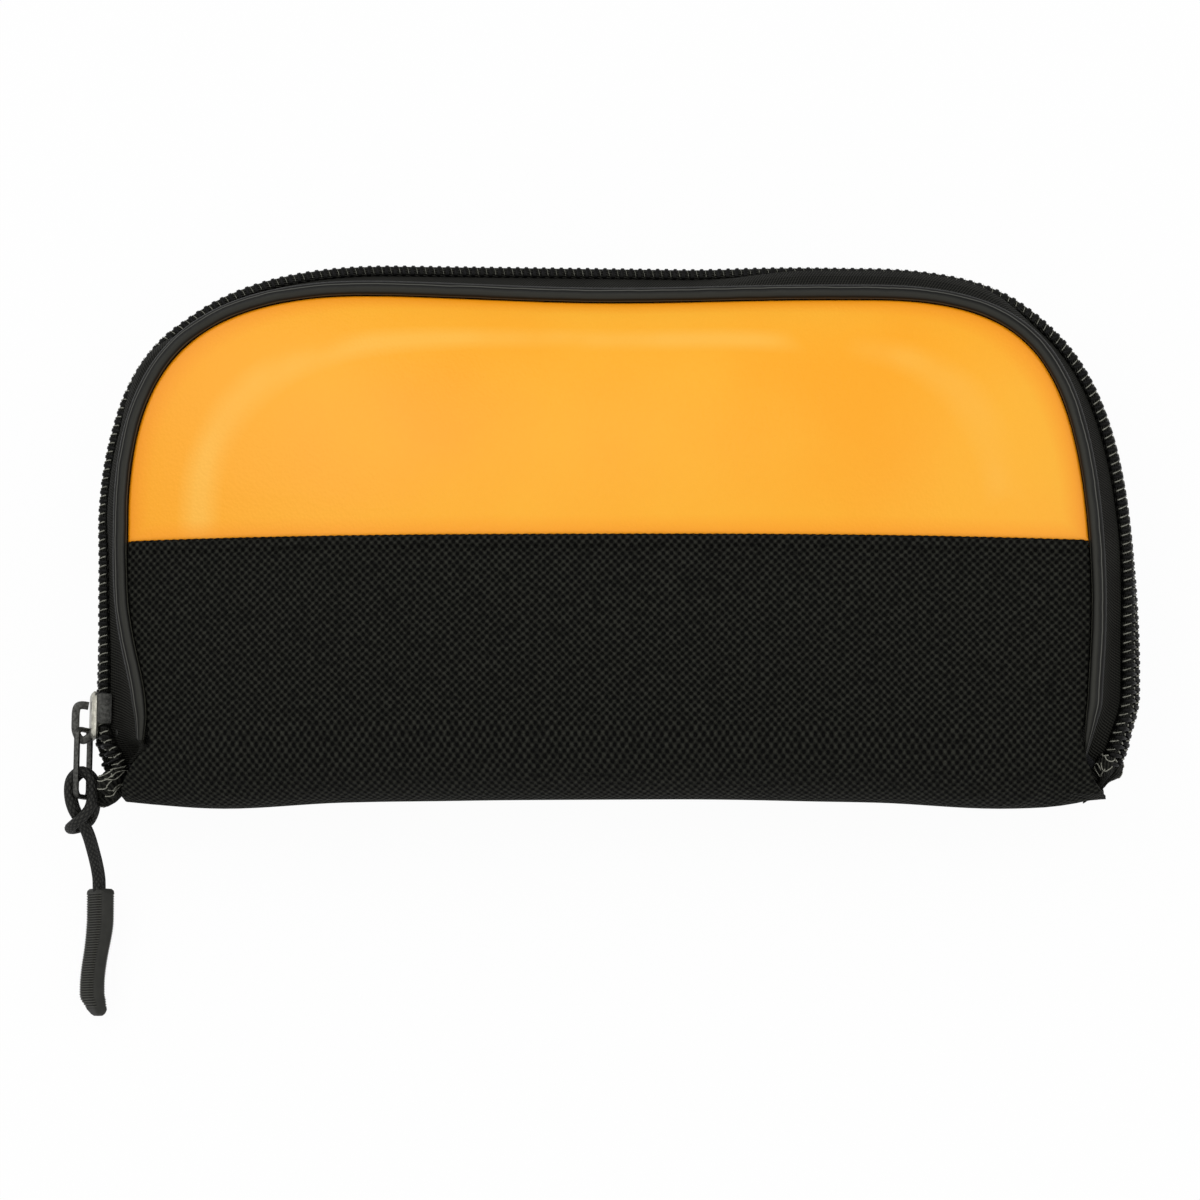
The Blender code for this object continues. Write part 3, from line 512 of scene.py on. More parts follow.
class Shader:
    """Principled material with short calls for the nodes that drive it"""

    def __init__(self, name, colour, roughness, metallic=0.0):
        self.material = bpy.data.materials.new(name)
        self.material.use_nodes = True
        self.tree = self.material.node_tree
        self.surface = self.tree.nodes["Principled BSDF"]
        self.surface.inputs["Base Color"].default_value = (*colour, 1)
        self.surface.inputs["Roughness"].default_value = roughness
        self.surface.inputs["Metallic"].default_value = metallic

    def node(self, kind, **settings):
        made = self.tree.nodes.new("ShaderNode" + kind)
        for key, value in settings.items():
            setattr(made, key, value)
        return made

    def put(self, value, socket):
        if hasattr(value, "is_output"):
            self.tree.links.new(value, socket)
        else:
            socket.default_value = value

    def math(self, operation, *values):
        made = self.node("Math", operation=operation)
        for value, socket in zip(values, made.inputs):
            self.put(value, socket)
        return made.outputs[0]

    def times(self, first, second):
        return self.math("MULTIPLY", first, second)

    def add(self, first, second):
        return self.math("ADD", first, second)

    def scaled(self, value, factor, base):
        """A value times a number, plus a base"""
        return self.math("MULTIPLY_ADD", value, factor, base)

    def sine(self, value, per):
        return self.math("SINE", self.times(value, per))

    def spread(self, noise, low=0.0, high=1.0):
        """Noise drawn out to a range of values"""
        return self.ramp(noise, 0.3, 0.7, low, high)

    def line(self, value, middle, wide, narrow):
        """A stripe about a middle value: 0 at the wide distance from it, 1 from the narrow one in"""
        return self.ramp(self.math("ABSOLUTE", self.math("SUBTRACT", value, middle)), wide, narrow)

    def uv(self):
        """Surface coordinates in centimetres along and across"""
        split = self.node("SeparateXYZ")
        self.put(self.node("TexCoord").outputs["UV"], split.inputs[0])
        return split.outputs[0], split.outputs[1]

    def noise(self, scale, detail, roughness=0.5):
        made = self.node("TexNoise")
        for name, value in (("Scale", scale), ("Detail", detail), ("Roughness", roughness)):
            made.inputs[name].default_value = value
        self.put(self.node("TexCoord").outputs["Object"], made.inputs["Vector"])
        return made.outputs["Fac"]

    def ramp(self, value, low, high, out_low=0.0, out_high=1.0):
        made = self.node("MapRange")
        made.clamp = True
        for socket, number in zip(made.inputs[1:5], (low, high, out_low, out_high)):
            socket.default_value = number
        self.put(value, made.inputs[0])
        return made.outputs[0]

    def mix(self, factor, first, second):
        made = self.node("Mix", data_type="RGBA")
        self.put(factor, made.inputs["Factor"])
        for socket, colour in ((made.inputs[6], first), (made.inputs[7], second)):
            self.put(colour if hasattr(colour, "is_output") else (*colour, 1), socket)
        return made.outputs[2]

    def sheen(self, level):
        """Share of the usual reflection at a slant"""
        self.surface.inputs["Specular IOR Level"].default_value = level

    def bumps(self, height, distance, strength):
        made = self.node("Bump")
        made.inputs["Distance"].default_value = distance
        made.inputs["Strength"].default_value = strength
        self.put(height, made.inputs["Height"])
        self.put(made.outputs[0], self.surface.inputs["Normal"])

    def paint(self, colour, roughness=None):
        self.put(colour, self.surface.inputs["Base Color"])
        if roughness is not None:
            self.put(roughness, self.surface.inputs["Roughness"])


def vinyl_material():
    """Coated cloth with a fine leather grain, with a painted highlight band in from its edge and painted
    shade in deeper orange along the piping and under the fabric's turned edge
    """
    shader = Shader("orange_vinyl", (1.0, 0.43, 0.02), 0.45)
    grain = shader.node("TexVoronoi", feature="SMOOTH_F1")
    grain.inputs["Scale"].default_value = 1500
    grain.inputs["Smoothness"].default_value = 0.6
    shader.put(shader.node("TexCoord").outputs["Object"], grain.inputs["Vector"])
    cloud = shader.noise(22, 2)
    fine = shader.noise(700, 4, 0.6)
    height = shader.add(grain.outputs["Distance"], shader.times(fine, 0.7))
    shader.bumps(height, 0.00006, 0.5)
    blend = shader.ramp(shader.add(cloud, shader.times(fine, 0.15)), 0.35, 0.75)
    share = shader.node("SeparateXYZ")
    shader.put(shader.node("UVMap", uv_map="EDGE").outputs["UV"], share.inputs[0])
    across = shader.uv()[0]
    blend = shader.times(blend, shader.ramp(across, -9.8, -6.0))
    face = shader.mix(blend, (1.0, 0.405, 0.006), (1.0, 0.462, 0.018))
    # Painted highlight: a lighter orange band some way in from the edge, where the padding's curve catches
    # the light, broken up by noise
    band = shader.line(share.outputs[0], 0.845, 0.050, 0.010)
    band = shader.times(band, shader.ramp(shader.noise(30, 2), 0.40, 0.60, 0.0, 0.85))
    face = shader.mix(band, face, (1.0, 0.505, 0.055))
    # Painted shade: deeper orange in a narrow strip along the piping and under the fabric's turned edge,
    # where shadow falls on the vinyl
    edge = shader.ramp(share.outputs[0], 0.952, 0.997)
    painted_hem_shadow = shader.ramp(shader.uv()[1], SEAM / CENTIMETRE + 0.45, SEAM / CENTIMETRE + 0.05)
    edge = shader.math("MAXIMUM", edge, shader.times(painted_hem_shadow, 0.8))
    shader.paint(shader.mix(edge, face, (1.0, 0.345, 0.003)), shader.spread(cloud, 0.38, 0.48))
    shader.sheen(0.35)
    return shader.material


def woven_material(name, pitch, dark, light, depth, roughness, wander=0.0):
    """Plain weave: warp floats stand out in a chequer over pits, on yarns that wander a little. The colour
    follows the relief as painted light: lighter on the floats as highlight, darker in the pits as shade
    """
    shader = Shader(name, dark, roughness)
    u, v = shader.uv()
    if wander:
        sway = wander * pitch / CENTIMETRE
        for across, along, detail, reach in ((75, 95, 2, 5.0), (620, 740, 1, 1.3)):
            u = shader.scaled(shader.noise(across, detail), reach * sway, u)
            v = shader.scaled(shader.noise(along, detail), reach * sway, v)
    per = math.pi * CENTIMETRE / pitch
    cross = shader.times(shader.sine(u, per), shader.sine(v, per))
    fuzz = shader.noise(3200, 3, 0.7)
    yarns = shader.noise(0.80 / pitch, 1)
    height = shader.scaled(fuzz, 0.5, cross)
    shader.bumps(height, depth, 0.9)
    shader.sheen(0.05)
    # Painted light and shade: the colour is lighter on the raised floats and darker in the pits, after the
    # same pattern as the bumps, times a tone for each yarn and fuzz
    lit = shader.times(shader.ramp(cross, -0.50, 0.95), shader.ramp(yarns, 0.25, 0.75, 0.40, 1.42))
    lit = shader.times(lit, shader.spread(fuzz, 0.7, 1.3))
    shader.paint(shader.mix(lit, dark, light))
    return shader.material


def ribbed_material(name, rib, dark, light, depth):
    """Woven tape: fine ribs that slant a little across it, each broken by the yarns along it"""
    shader = Shader(name, dark, 0.7)
    u, v = shader.uv()
    per = 2 * math.pi * CENTIMETRE / rib
    sway = shader.scaled(shader.noise(160, 2), 0.5 * rib / CENTIMETRE, u)
    ribs = shader.sine(shader.scaled(v, 0.30, sway), per)
    yarns = shader.sine(v, per * 0.8)
    fuzz = shader.noise(3600, 3, 0.7)
    height = shader.scaled(yarns, 0.35, shader.scaled(fuzz, 0.4, ribs))
    shader.bumps(height, depth, 0.9)
    shader.sheen(0.08)
    cloud = shader.spread(shader.noise(120, 3), 0.7, 1.1)
    # Painted light and shade: the colour follows the height of the ribs, lighter on their crests and darker
    # between them, under a cloudy tone
    lit = shader.times(shader.ramp(height, -0.6, 1.3), cloud)
    shader.paint(shader.mix(lit, dark, light))
    return shader.material


def piping_material():
    """Coated cord, dark, with painted highlights where its round face mirrors the white around it: a thin
    light line near its sewn edge, a soft stripe along its top and a fainter line beyond
    """
    shader = Shader("black_piping", (0.008, 0.008, 0.007), 0.32)
    round_it = shader.uv()[0]
    folded = shader.math("MINIMUM", round_it, shader.math("SUBTRACT", 1.0, round_it))
    wobble = shader.scaled(shader.noise(140, 2), 0.05, folded)
    # Painted highlights: two thin light lines and a soft stripe along the cord, painted into its colour as
    # reflections
    line = shader.line(wobble, 0.150, 0.024, 0.006)
    far_highlight_line = shader.line(wobble, 0.415, 0.018, 0.004)
    highlight_streak = shader.line(wobble, 0.285, 0.085, 0.030)
    body = shader.mix(shader.times(highlight_streak, 0.9), (0.0040, 0.0040, 0.0034), (0.030, 0.030, 0.025))
    body = shader.mix(shader.times(far_highlight_line, 0.70), body, (0.13, 0.13, 0.115))
    fine = shader.noise(1800, 3)
    shader.paint(
        shader.mix(shader.times(line, 0.60), body, (0.10, 0.10, 0.078)),
        shader.spread(fine, 0.32, 0.44),
    )
    shader.bumps(fine, 0.00002, 0.5)
    shader.sheen(0.13)
    return shader.material


def plain_material(name, dark, light, roughness, scale, depth, metallic=0.0, level=0.5):
    """Moulded, cast or coated surface with slight mottling and a fine texture"""
    shader = Shader(name, dark, roughness, metallic)
    shader.sheen(level)
    cloud = shader.noise(scale, 4, 0.6)
    fine = shader.noise(scale * 18, 2)
    shader.paint(
        shader.mix(shader.ramp(cloud, 0.35, 0.7), dark, light),
        shader.spread(fine, roughness - 0.06, roughness + 0.08),
    )
    shader.bumps(shader.add(cloud, fine), depth, 0.6)
    return shader.material


def grip_material():
    """Soft rubber, with painted shade in the grooves between the ribs of its wide faces and painted highlight
    on the ribs' crests
    """
    shader = Shader("black_rubber", (0.010, 0.010, 0.0085), 0.5)
    u, v = shader.uv()
    ribs = shader.math("COSINE", shader.times(v, 2 * math.pi * CENTIMETRE / RIB_PITCH))
    faced = shader.math("ABSOLUTE", shader.sine(u, 2 * math.pi))
    ends = shader.times(shader.ramp(v, 0.08, 0.14), shader.ramp(v, 2.68, 2.60))
    faced = shader.times(shader.ramp(faced, 0.42, 0.58), ends)
    cloud = shader.noise(400, 3)
    fine = shader.noise(5200, 2)
    body = shader.mix(shader.spread(cloud), (0.017, 0.017, 0.0145), (0.026, 0.026, 0.022))
    # Painted light and shade on the ribs: dark in the grooves, light on the crests
    ribbed = shader.mix(shader.ramp(ribs, -0.5, 0.9), (0.0035, 0.0035, 0.0028), (0.056, 0.056, 0.046))
    shader.paint(shader.mix(faced, body, ribbed), shader.spread(fine, 0.44, 0.58))
    shader.bumps(fine, 0.00002, 0.5)
    shader.sheen(0.22)
    return shader.material


def braid_material(name, dark, light, around, pitch, depth):
    """Braided sleeve: two sets of slanting strands that cross"""
    shader = Shader(name, dark, 0.6)
    u, v = shader.uv()
    turns = shader.times(u, around * math.pi)
    rise = shader.times(v, math.pi * CENTIMETRE / pitch)
    one = shader.math("SINE", shader.add(turns, rise))
    two = shader.math("SINE", shader.math("SUBTRACT", turns, rise))
    strands = shader.math("ABSOLUTE", shader.times(one, two))
    fuzz = shader.noise(3000, 3, 0.7)
    shader.bumps(shader.add(strands, shader.times(fuzz, 0.3)), depth, 0.9)
    shader.sheen(0.2)
    # Painted light and shade: lighter where the strands bulge and darker between them, after the same pattern
    # as the bumps
    shader.paint(shader.mix(shader.ramp(strands, 0.2, 1.0), dark, light))
    return shader.material


PAINTS = {
    "vinyl": vinyl_material(),
    "fabric": woven_material(
        "black_ballistic_fabric", YARN, (0.0006, 0.0006, 0.0005), (0.0315, 0.0320, 0.0258),
        0.00030, 0.7, 0.26,
    ),
    "lining": woven_material(
        "black_lining", 0.00045, (0.006, 0.006, 0.0065), (0.026, 0.026, 0.028), 0.00008, 0.75,
    ),
    "piping": piping_material(),
    "tape": ribbed_material(
        "black_zip_tape", 0.00062, (0.0015, 0.0015, 0.0012), (0.026, 0.026, 0.0215), 0.00010,
    ),
    "coil": plain_material(
        "black_zip_coil", (0.0015, 0.0015, 0.0015), (0.004, 0.004, 0.0035),
        0.30, 900, 0.00002, level=0.09,
    ),
    # Light grey of the zip's stitches: partly the thread's own colour, partly painted highlight for the
    # glints on the coil's loops
    "thread": plain_material(
        "thread_grey_and_glints", (0.16, 0.16, 0.13), (0.40, 0.40, 0.34), 0.55, 1800, 0.00002, level=0.2,
    ),
    "binding": ribbed_material(
        "black_binding", 0.00080, (0.006, 0.006, 0.006), (0.032, 0.032, 0.030), 0.00010,
    ),
    "metal": plain_material(
        "grey_metal", (0.022, 0.022, 0.020), (0.090, 0.090, 0.083), 0.36, 1500, 0.00006, 0.80,
    ),
    # Painted light: a much lighter copy of the grey metal for the slider's cover plate, which stands in for
    # light falling on it
    "painted_light_metal": plain_material(
        "grey_metal_painted_light", (0.34, 0.33, 0.28), (0.62, 0.60, 0.52), 0.30, 900, 0.00003, 0.85,
    ),
    "cord": braid_material(
        "black_cord", (0.003, 0.003, 0.0028), (0.034, 0.034, 0.029), 8, 0.0016, 0.00016,
    ),
    "rubber": grip_material(),
    "elastic": woven_material(
        "black_elastic", 0.0007, (0.006, 0.006, 0.006), (0.036, 0.036, 0.034), 0.00014, 0.7,
    ),
}


# Pieces


def placed(name, data):
    """Object of some data, in the scene"""
    obj = bpy.data.objects.new(name, data)
    bpy.context.scene.collection.objects.link(obj)
    return obj


def finish_piece(mesh, paint, body, replaced=()):
    """Object of a mesh with its finish, which rides its body and stands in for the solids it replaces"""
    obj = placed(mesh.name, mesh)
    mesh.materials.append(PAINTS[paint])
    mesh.polygons.foreach_set("use_smooth", [True] * len(mesh.polygons))
    if body:
        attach(obj, body)
    if replaced:
        obj.name = mesh.name = replaced[0] + "_look"
        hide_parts(*replaced)
    return obj


def thicken(obj, thickness, offset=-1):
    """Give a piece's surface a thickness: inwards, or to both sides with offset 0"""
    solid = obj.modifiers.new("thickness", "SOLIDIFY")
    solid.thickness = thickness
    solid.offset = offset
    return obj


def ring_faces(count, width, tube=True):
    """Faces over rows of points, which are open, or the rings of a tube with a cap on each end"""
    faces = []
    for i in range(count - 1):
        for j in range(width if tube else width - 1):
            k = (j + 1) % width
            faces.append((i * width + j, i * width + k, (i + 1) * width + k, (i + 1) * width + j))
    if tube:
        faces += [tuple(range(width))[::-1], tuple(range((count - 1) * width, count * width))]
    return faces


def grid_mesh(name, rows, uv, tube=False):
    """Mesh over rows of points, with a place on the flat material for each"""
    rows, uv = np.asarray(rows), np.asarray(uv)
    count, width = rows.shape[:2]
    loops_uv = []
    for i in range(count - 1):
        for j in range(width if tube else width - 1):
            near, far = uv[i, j], uv[i + 1, j]
            step = uv[i, j + 1] - near if j + 1 < width else uv[i, 1] - uv[i, 0]
            loops_uv += [near, near + step, far + step, far]
    if tube:
        loops_uv += [uv[0, 0]] * width + [uv[-1, 0]] * width
    mesh = bpy.data.meshes.new(name)
    mesh.from_pydata(rows.reshape(-1, 3).tolist(), [], ring_faces(count, width, tube))
    layer = mesh.uv_layers.new(name="UV")
    layer.data.foreach_set("uv", np.asarray(loops_uv, dtype=float).ravel())
    mesh.validate()
    return mesh


def tube_rows(path, radius, sides):
    """Rings of points round a path, kept from twisting; radius may vary along it"""
    path = np.asarray(path, dtype=float)
    tangent = np.gradient(path, axis=0)
    tangent /= np.linalg.norm(tangent, axis=1)[:, None]
    normal = np.array((0.0, 0.0, 1.0))
    rows = []
    angles = circle(sides)
    for point, along, size in zip(path, tangent, np.broadcast_to(radius, len(path))):
        normal = normal - along * (normal @ along)
        normal /= np.linalg.norm(normal)
        side = np.cross(along, normal)
        rows.append(point + size * (np.outer(np.cos(angles), side) + np.outer(np.sin(angles), normal)))
    return np.array(rows)


def tube_mesh(name, path, radius, sides):
    """Mesh of a round tube, with its material laid round it once and along it in centimetres"""
    around = np.tile(np.arange(sides) / sides, (len(path), 1))
    along = np.repeat(run_of(path)[:, None] / CENTIMETRE, sides, axis=1)
    uv = np.stack([around, along], axis=2)
    return grid_mesh(name, tube_rows(path, radius, sides), uv, tube=True)


def joined_mesh(name, parts):
    """One mesh of many lists of points and faces"""
    points, faces, base = [], [], 0
    for some_points, some_faces in parts:
        points.append(some_points)
        faces.extend(tuple(index + base for index in face) for face in some_faces)
        base += len(some_points)
    mesh = bpy.data.meshes.new(name)
    mesh.from_pydata(np.concatenate(points).tolist(), [], faces)
    return mesh


def eased_outline(width):
    """The outline with its kinks eased over some stations"""
    turn = np.fft.fft(FLAT_OUTLINE, axis=0)
    gain = np.exp(-2 * (math.pi * np.fft.fftfreq(len(FLAT_OUTLINE)) * width) ** 2)
    return np.fft.ifft(turn * gain[:, None], axis=0).real


def flat_pattern(rings, low, high, cuts):
    """Flat panel of rings round its middle, cut straight across. A vertex's z is its ring's share"""
    bm = bmesh.new()
    middle = bm.verts.new((0, FLAT_MIDDLE, 0))
    loops = []
    for share in rings:
        x, w = eased_outline(16 * (1 - share) ** 0.8).T
        beyond = np.maximum(np.hypot(x / WALL_HALF_WIDTH, (w - FLAT_MIDDLE) / FLAT_MIDDLE) - 1, 0.0)
        pull = share * (1 - CORNER_SOFTNESS * (1 - share) * beyond * share)
        x = x * pull
        w = FLAT_MIDDLE + (w - FLAT_MIDDLE) * pull
        loops.append([bm.verts.new((a, b, share)) for a, b in zip(x, w)])
    count = len(FLAT_OUTLINE)
    for i in range(count):
        j = (i + 1) % count
        bm.faces.new((middle, loops[0][j], loops[0][i]))
        for inner, outer in zip(loops, loops[1:]):
            bm.faces.new((inner[i], inner[j], outer[j], outer[i]))
    for level in cuts:
        cut_across(bm, level)
    if low is not None:
        cut_across(bm, low, clear_inner=True)
    if high is not None:
        cut_across(bm, high, clear_outer=True)
    return bm


def cut_across(bm, level, **clear):
    """Cut a flat panel straight across at a distance from the fold, and drop a side where asked"""
    geometry = bm.verts[:] + bm.edges[:] + bm.faces[:]
    bmesh.ops.bisect_plane(bm, geom=geometry, dist=1e-6, plane_co=(0, level, 0), plane_no=(0, 1, 0), **clear)


def soft_relief(x, w, side):
    """Slight unevenness of padded cloth, in metres"""
    wave = np.sin(x * 71 + 1.3) * np.sin(w * 58 + 0.4) + 0.5 * np.sin(x * 133 - w * 97 + 2.0)
    return wave * (0.00012 if side == FRONT else 0.00006)


def panel(name, side, depth, thickness, paint, also=(), low=None, high=None, cuts=(), relief=None, reach=1.0):
    """Layer of a panel: its outer surface, thickened inwards"""
    rings = tuple(share for share in PANEL_RINGS if share <= reach)
    bm = flat_pattern(rings, low, high, cuts)
    x, w, share = np.array([vert.co[:] for vert in bm.verts]).T
    edge = 1 - smooth((share - 0.9) / 0.1)
    sunk = depth(share, w) if callable(depth) else depth
    rise = crown(share, side) - sunk + soft_relief(x, w, side) * edge
    if relief:
        rise = rise + relief(x, w, share)
    layer = bm.loops.layers.uv.new("UV")
    second = bm.loops.layers.uv.new("EDGE")
    for face in bm.faces:
        for loop in face.loops:
            loop[layer].uv = (loop.vert.co.x / CENTIMETRE, loop.vert.co.y / CENTIMETRE)
            loop[second].uv = (loop.vert.co.z, 0)
    for vert, place in zip(bm.verts, bent(x, w, rise, side)):
        vert.co = place
    bmesh.ops.recalc_face_normals(bm, faces=bm.faces)
    bm.normal_update()
    if sum(face.normal.z * face.calc_area() for face in bm.faces) * side < 0:
        bmesh.ops.reverse_faces(bm, faces=bm.faces[:])
    mesh = bpy.data.meshes.new(name)
    bm.to_mesh(mesh)
    bm.free()
    return thicken(finish_piece(mesh, paint, BODIES[side], (name, *also)), thickness)


def hem_relief(x, w, share):
    """Turned edge of the fabric: a raised band along the seam with a groove under it, and a crease"""
    below = SEAM - w
    band = HEM_RISE * smooth(1.6 - np.abs(below - HEM_WIDTH / 2) / (HEM_WIDTH / 2))
    groove = -HEM_RISE * 0.9 * bump((below - HEM_WIDTH - HEM_GROOVE / 2) / (HEM_GROOVE / 2))
    across = (x - CREASE_X) - (w - CREASE_W) * CREASE_LEAN
    along = (w - CREASE_W) + (x - CREASE_X) * CREASE_LEAN
    crease = -CREASE_DEPTH * bump(across / CREASE_WIDTH) * bump(along / CREASE_LENGTH)
    fade = 1 - smooth((share - 0.965) / 0.035)
    return (band + groove + crease) * fade


def vinyl_relief(x, w, share):
    """The vinyl dives under the fabric's turned edge"""
    return -VINYL_DIVE * smooth((0.0003 - (w - SEAM)) / 0.0008)


def seam_line(count):
    """Each x and point along the edge of the front fabric at the seam between the two materials"""
    outline = FLAT_OUTLINE[: len(FLAT_OUTLINE) - FOLD_STATIONS]
    left = outline[: len(outline) // 2]
    right = outline[len(outline) // 2 :][::-1]
    x_left = np.interp(SEAM, left[:, 1], left[:, 0])
    x_right = np.interp(SEAM, right[:, 1], right[:, 0])
    x = np.linspace(x_left, x_right, count) * SEAM_REACH
    rise = crown(np.where(x < 0, x / x_left, x / x_right), FRONT) + YARN_LIFT
    return x, bent(x, np.full(count, SEAM), rise, FRONT)


def strip_piece(name, side, profile_at, runs, thickness, paint):
    """Tape along the zip wall: the outer surface of its section, thickened inwards"""
    profile = profile_at(runs)
    rows = np.stack([wall_points(runs, outward, depth, side) for outward, depth in profile], axis=1)
    steps = np.linalg.norm(np.diff(rows, axis=1), axis=2)
    across = np.column_stack([np.zeros(len(runs)), np.cumsum(steps, axis=1)])
    uv = np.stack([np.repeat(runs[:, None], len(profile), axis=1), across], axis=2) / CENTIMETRE
    mesh = grid_mesh(name, rows[:, ::side], uv[:, ::side])
    return thicken(finish_piece(mesh, paint, BODIES[side], (name,)), thickness)


def tape_profile(runs):
    """Section of a tape's outer face: upright at the teeth, then in under the piping and the panel"""
    outward, depth = piping_centre(runs)
    radius = PIPING_RADIUS * piping_share(runs)
    inset = panel_inset(runs)
    seam = seam_depth(on_zip_line(runs, -inset)[:, 1])
    ceiling = seam - (FABRIC_THICKNESS + 3 * GAP) * (HALF_DEPTH / np.maximum(seam, 0.002)) ** 2.4
    below_out = outward + radius * 0.1
    below = np.minimum(depth - radius - GAP, ceiling - GAP)
    upright = np.minimum(TAPE_UPRIGHT, below - 0.001)
    flange = -inset - TAPE_FLANGE * np.minimum(inset / PANEL_INSET, 1.0)
    zero = np.zeros(len(runs))
    points = [(zero, 0.0006 + coil_spread(runs)), (zero, (TAPE_EDGE + upright) / 2), (zero, upright)]
    for t in (0.08, 0.17, 0.3, 0.5, 0.75, 1.0):
        lean = t**1.12
        points.append((below_out * lean, upright + (below - upright) * t))
    points.append((flange, ceiling))
    return points


def binding_profile(runs):
    """Section of the binding over the raw edges of the seam inside"""
    sink = TAPE_THICKNESS + 2 * GAP
    below, end = tape_profile(runs)[-2:]
    shares = np.linspace(0.5, 1.0, 5)
    return [(below[0] * (1 - t) + end[0] * t, below[1] * (1 - t) + end[1] * t - sink) for t in shares]


def piping_piece(name, side):
    """Piping along the seam, whose two tails sink behind the panel"""
    runs = runs_above(PIPING_SHOWN_TO, 330)
    held = np.clip(runs, run_at_height(PIPING_HELD_FROM), run_at_height(PIPING_HELD_FROM, True))
    outward, depth = piping_centre(held)
    tail = smooth((PIPING_SHOWN_TO + PIPING_TAIL - on_zip_line(runs)[:, 1]) / PIPING_TAIL)
    path = wall_points(runs, outward, depth - PIPING_TAIL_SINK * tail, side)
    path[:, :2] -= np.column_stack(end_shift(runs))
    mesh = tube_mesh(name, path, PIPING_RADIUS * piping_share(runs), 14)
    return finish_piece(mesh, "piping", BODIES[side], (name,))


def coil_spread(run):
    """How far the left teeth stand off the zip's middle: it grows from the slider's throat to its foot"""
    throat = SLIDER_HEIGHT + SLIDER_LENGTH / 2 - RIM_LENGTH
    height = on_zip_line(run)[:, 1]
    spread = SPREAD * smooth((throat + GAP - height) / (SLIDER_LENGTH - RIM_LENGTH - GAP))
    return np.where(np.asarray(run) > HALF_RUN, 0.0, spread)


def tooth_runs(side):
    """Runs of one side's teeth, which sit between those of the other side"""
    first, last = run_at_height(ZIP_END_HEIGHT), run_at_height(RIGHT_TEETH_END, True)
    start = first + (0 if side == FRONT else TOOTH_PITCH / 2)
    return np.arange(start, last, TOOTH_PITCH)


# Stitches on a folded end: place from foot to top, sag of the loop, and first and last angle round it
END_THREADS = (
    (0.10, 0.10, -0.2, 1.3),
    (0.20, 0.12, 0.4, 2.0),
    (0.30, -0.12, 0.9, 2.2),
    (0.40, 0.14, -0.4, 1.0),
    (0.52, 0.16, 0.5, 1.9),
    (0.64, 0.14, -0.1, 1.1),
    (0.74, -0.10, 0.9, 2.3),
    (0.86, 0.10, -0.3, 1.2),
    (0.93, 0.06, 0.8, 2.2),
)

# Section through one tooth: depth from the zip's middle, half width along the run, and how far
# its faces stand off the tape
TOOTH_RINGS = (
    (-0.00052, 0.00022, 0.00100, 0.00200),
    (-0.00040, 0.00038, 0.00060, 0.00240),
    (0.00000, 0.00044, 0.00030, 0.00272),
    (0.00060, 0.00044, 0.00010, 0.00286),
    (0.00130, 0.00060, 0.00002, 0.00290),
    (0.00220, 0.00066, 0.00002, 0.00286),
    (0.00290, 0.00064, 0.00002, 0.00268),
    (0.00335, 0.00052, 0.00010, 0.00225),
    (0.00358, 0.00026, 0.00060, 0.00170),
)


def coil_piece(name, side):
    """A row of teeth: the loops of a coil, each pressed to a head where it meets the other row"""
    sides = 10
    round_x, round_n = squared(circle(sides), 0.75)
    faces = [face[::side] for face in ring_faces(len(TOOTH_RINGS), sides)]
    parts = []
    for run, spread in zip(tooth_runs(side), coil_spread(tooth_runs(side))):
        points = []
        for depth, half, low, high in TOOTH_RINGS:
            along = run + half * round_x + 0.00018 * (depth / 0.0036)
            outward = (low + high) / 2 + (high - low) / 2 * round_n
            points.append(wall_points(along, outward, depth + spread, side))
        parts.append((np.concatenate(points), faces))
    return finish_piece(joined_mesh(name, parts), "coil", BODIES[side], (name,))


def thread_part(path, radius):
    """Points and faces of one short round thread"""
    return tube_rows(path, radius, THREAD_SIDES).reshape(-1, 3), ring_faces(len(path), THREAD_SIDES)


def stitch_piece(name, side):
    """Threads between two teeth that tie the coil down: one slanting up its back, one over its face. Their
    light grey is partly painted highlight for the coil's glints
    """
    parts = []
    runs = tooth_runs(side)[:-1]
    seen = 1 - 0.75 * np.maximum(np.interp(runs, RUN, OUTWARD[:, 1]), 0.0) ** 2
    for run, spread, share in zip(runs, coil_spread(runs), seen):
        right = run > HALF_RUN
        t = np.linspace(0, 0.66 if right else 1, 8)
        along = run + TOOTH_PITCH * (0.70 - 0.40 * t)
        outward = 0.0001 + 0.0023 * np.sin(math.pi * (0.06 + 0.54 * t)) ** 0.8
        depth = spread + 0.0037 - 0.0012 * t**2
        thick = STITCH_RADIUS * share * (1.1 - 0.45 * np.sin(math.pi * t) ** 2)
        parts.append(thread_part(wall_points(along, outward, depth, side), thick))
        t = np.linspace(0.5 if right else 0, 1, 8)
        along = run + TOOTH_PITCH * (0.42 + 0.26 * t)
        outward = 0.00232 + (0.0003 if right else 0.00012) * np.sin(math.pi * t)
        depth = spread + 0.0029 - 0.0022 * t
        thick = (RIGHT_FACE_STITCH_RADIUS if right else LEFT_FACE_STITCH_RADIUS) * share
        parts.append(thread_part(wall_points(along, outward, depth, side), thick))
    return finish_piece(joined_mesh(name, parts), "thread", BODIES[side])


def coil_core_piece(name, side):
    """Cord inside the coil, which shows dark between the loops"""
    runs = runs_above(ZIP_END_HEIGHT, 500, RIGHT_TEETH_END)
    path = wall_points(runs, CORE_OUTWARD, CORE_DEPTH + coil_spread(runs), side)
    return finish_piece(tube_mesh(name, path, CORE_RADIUS, 12), "tape", BODIES[side])


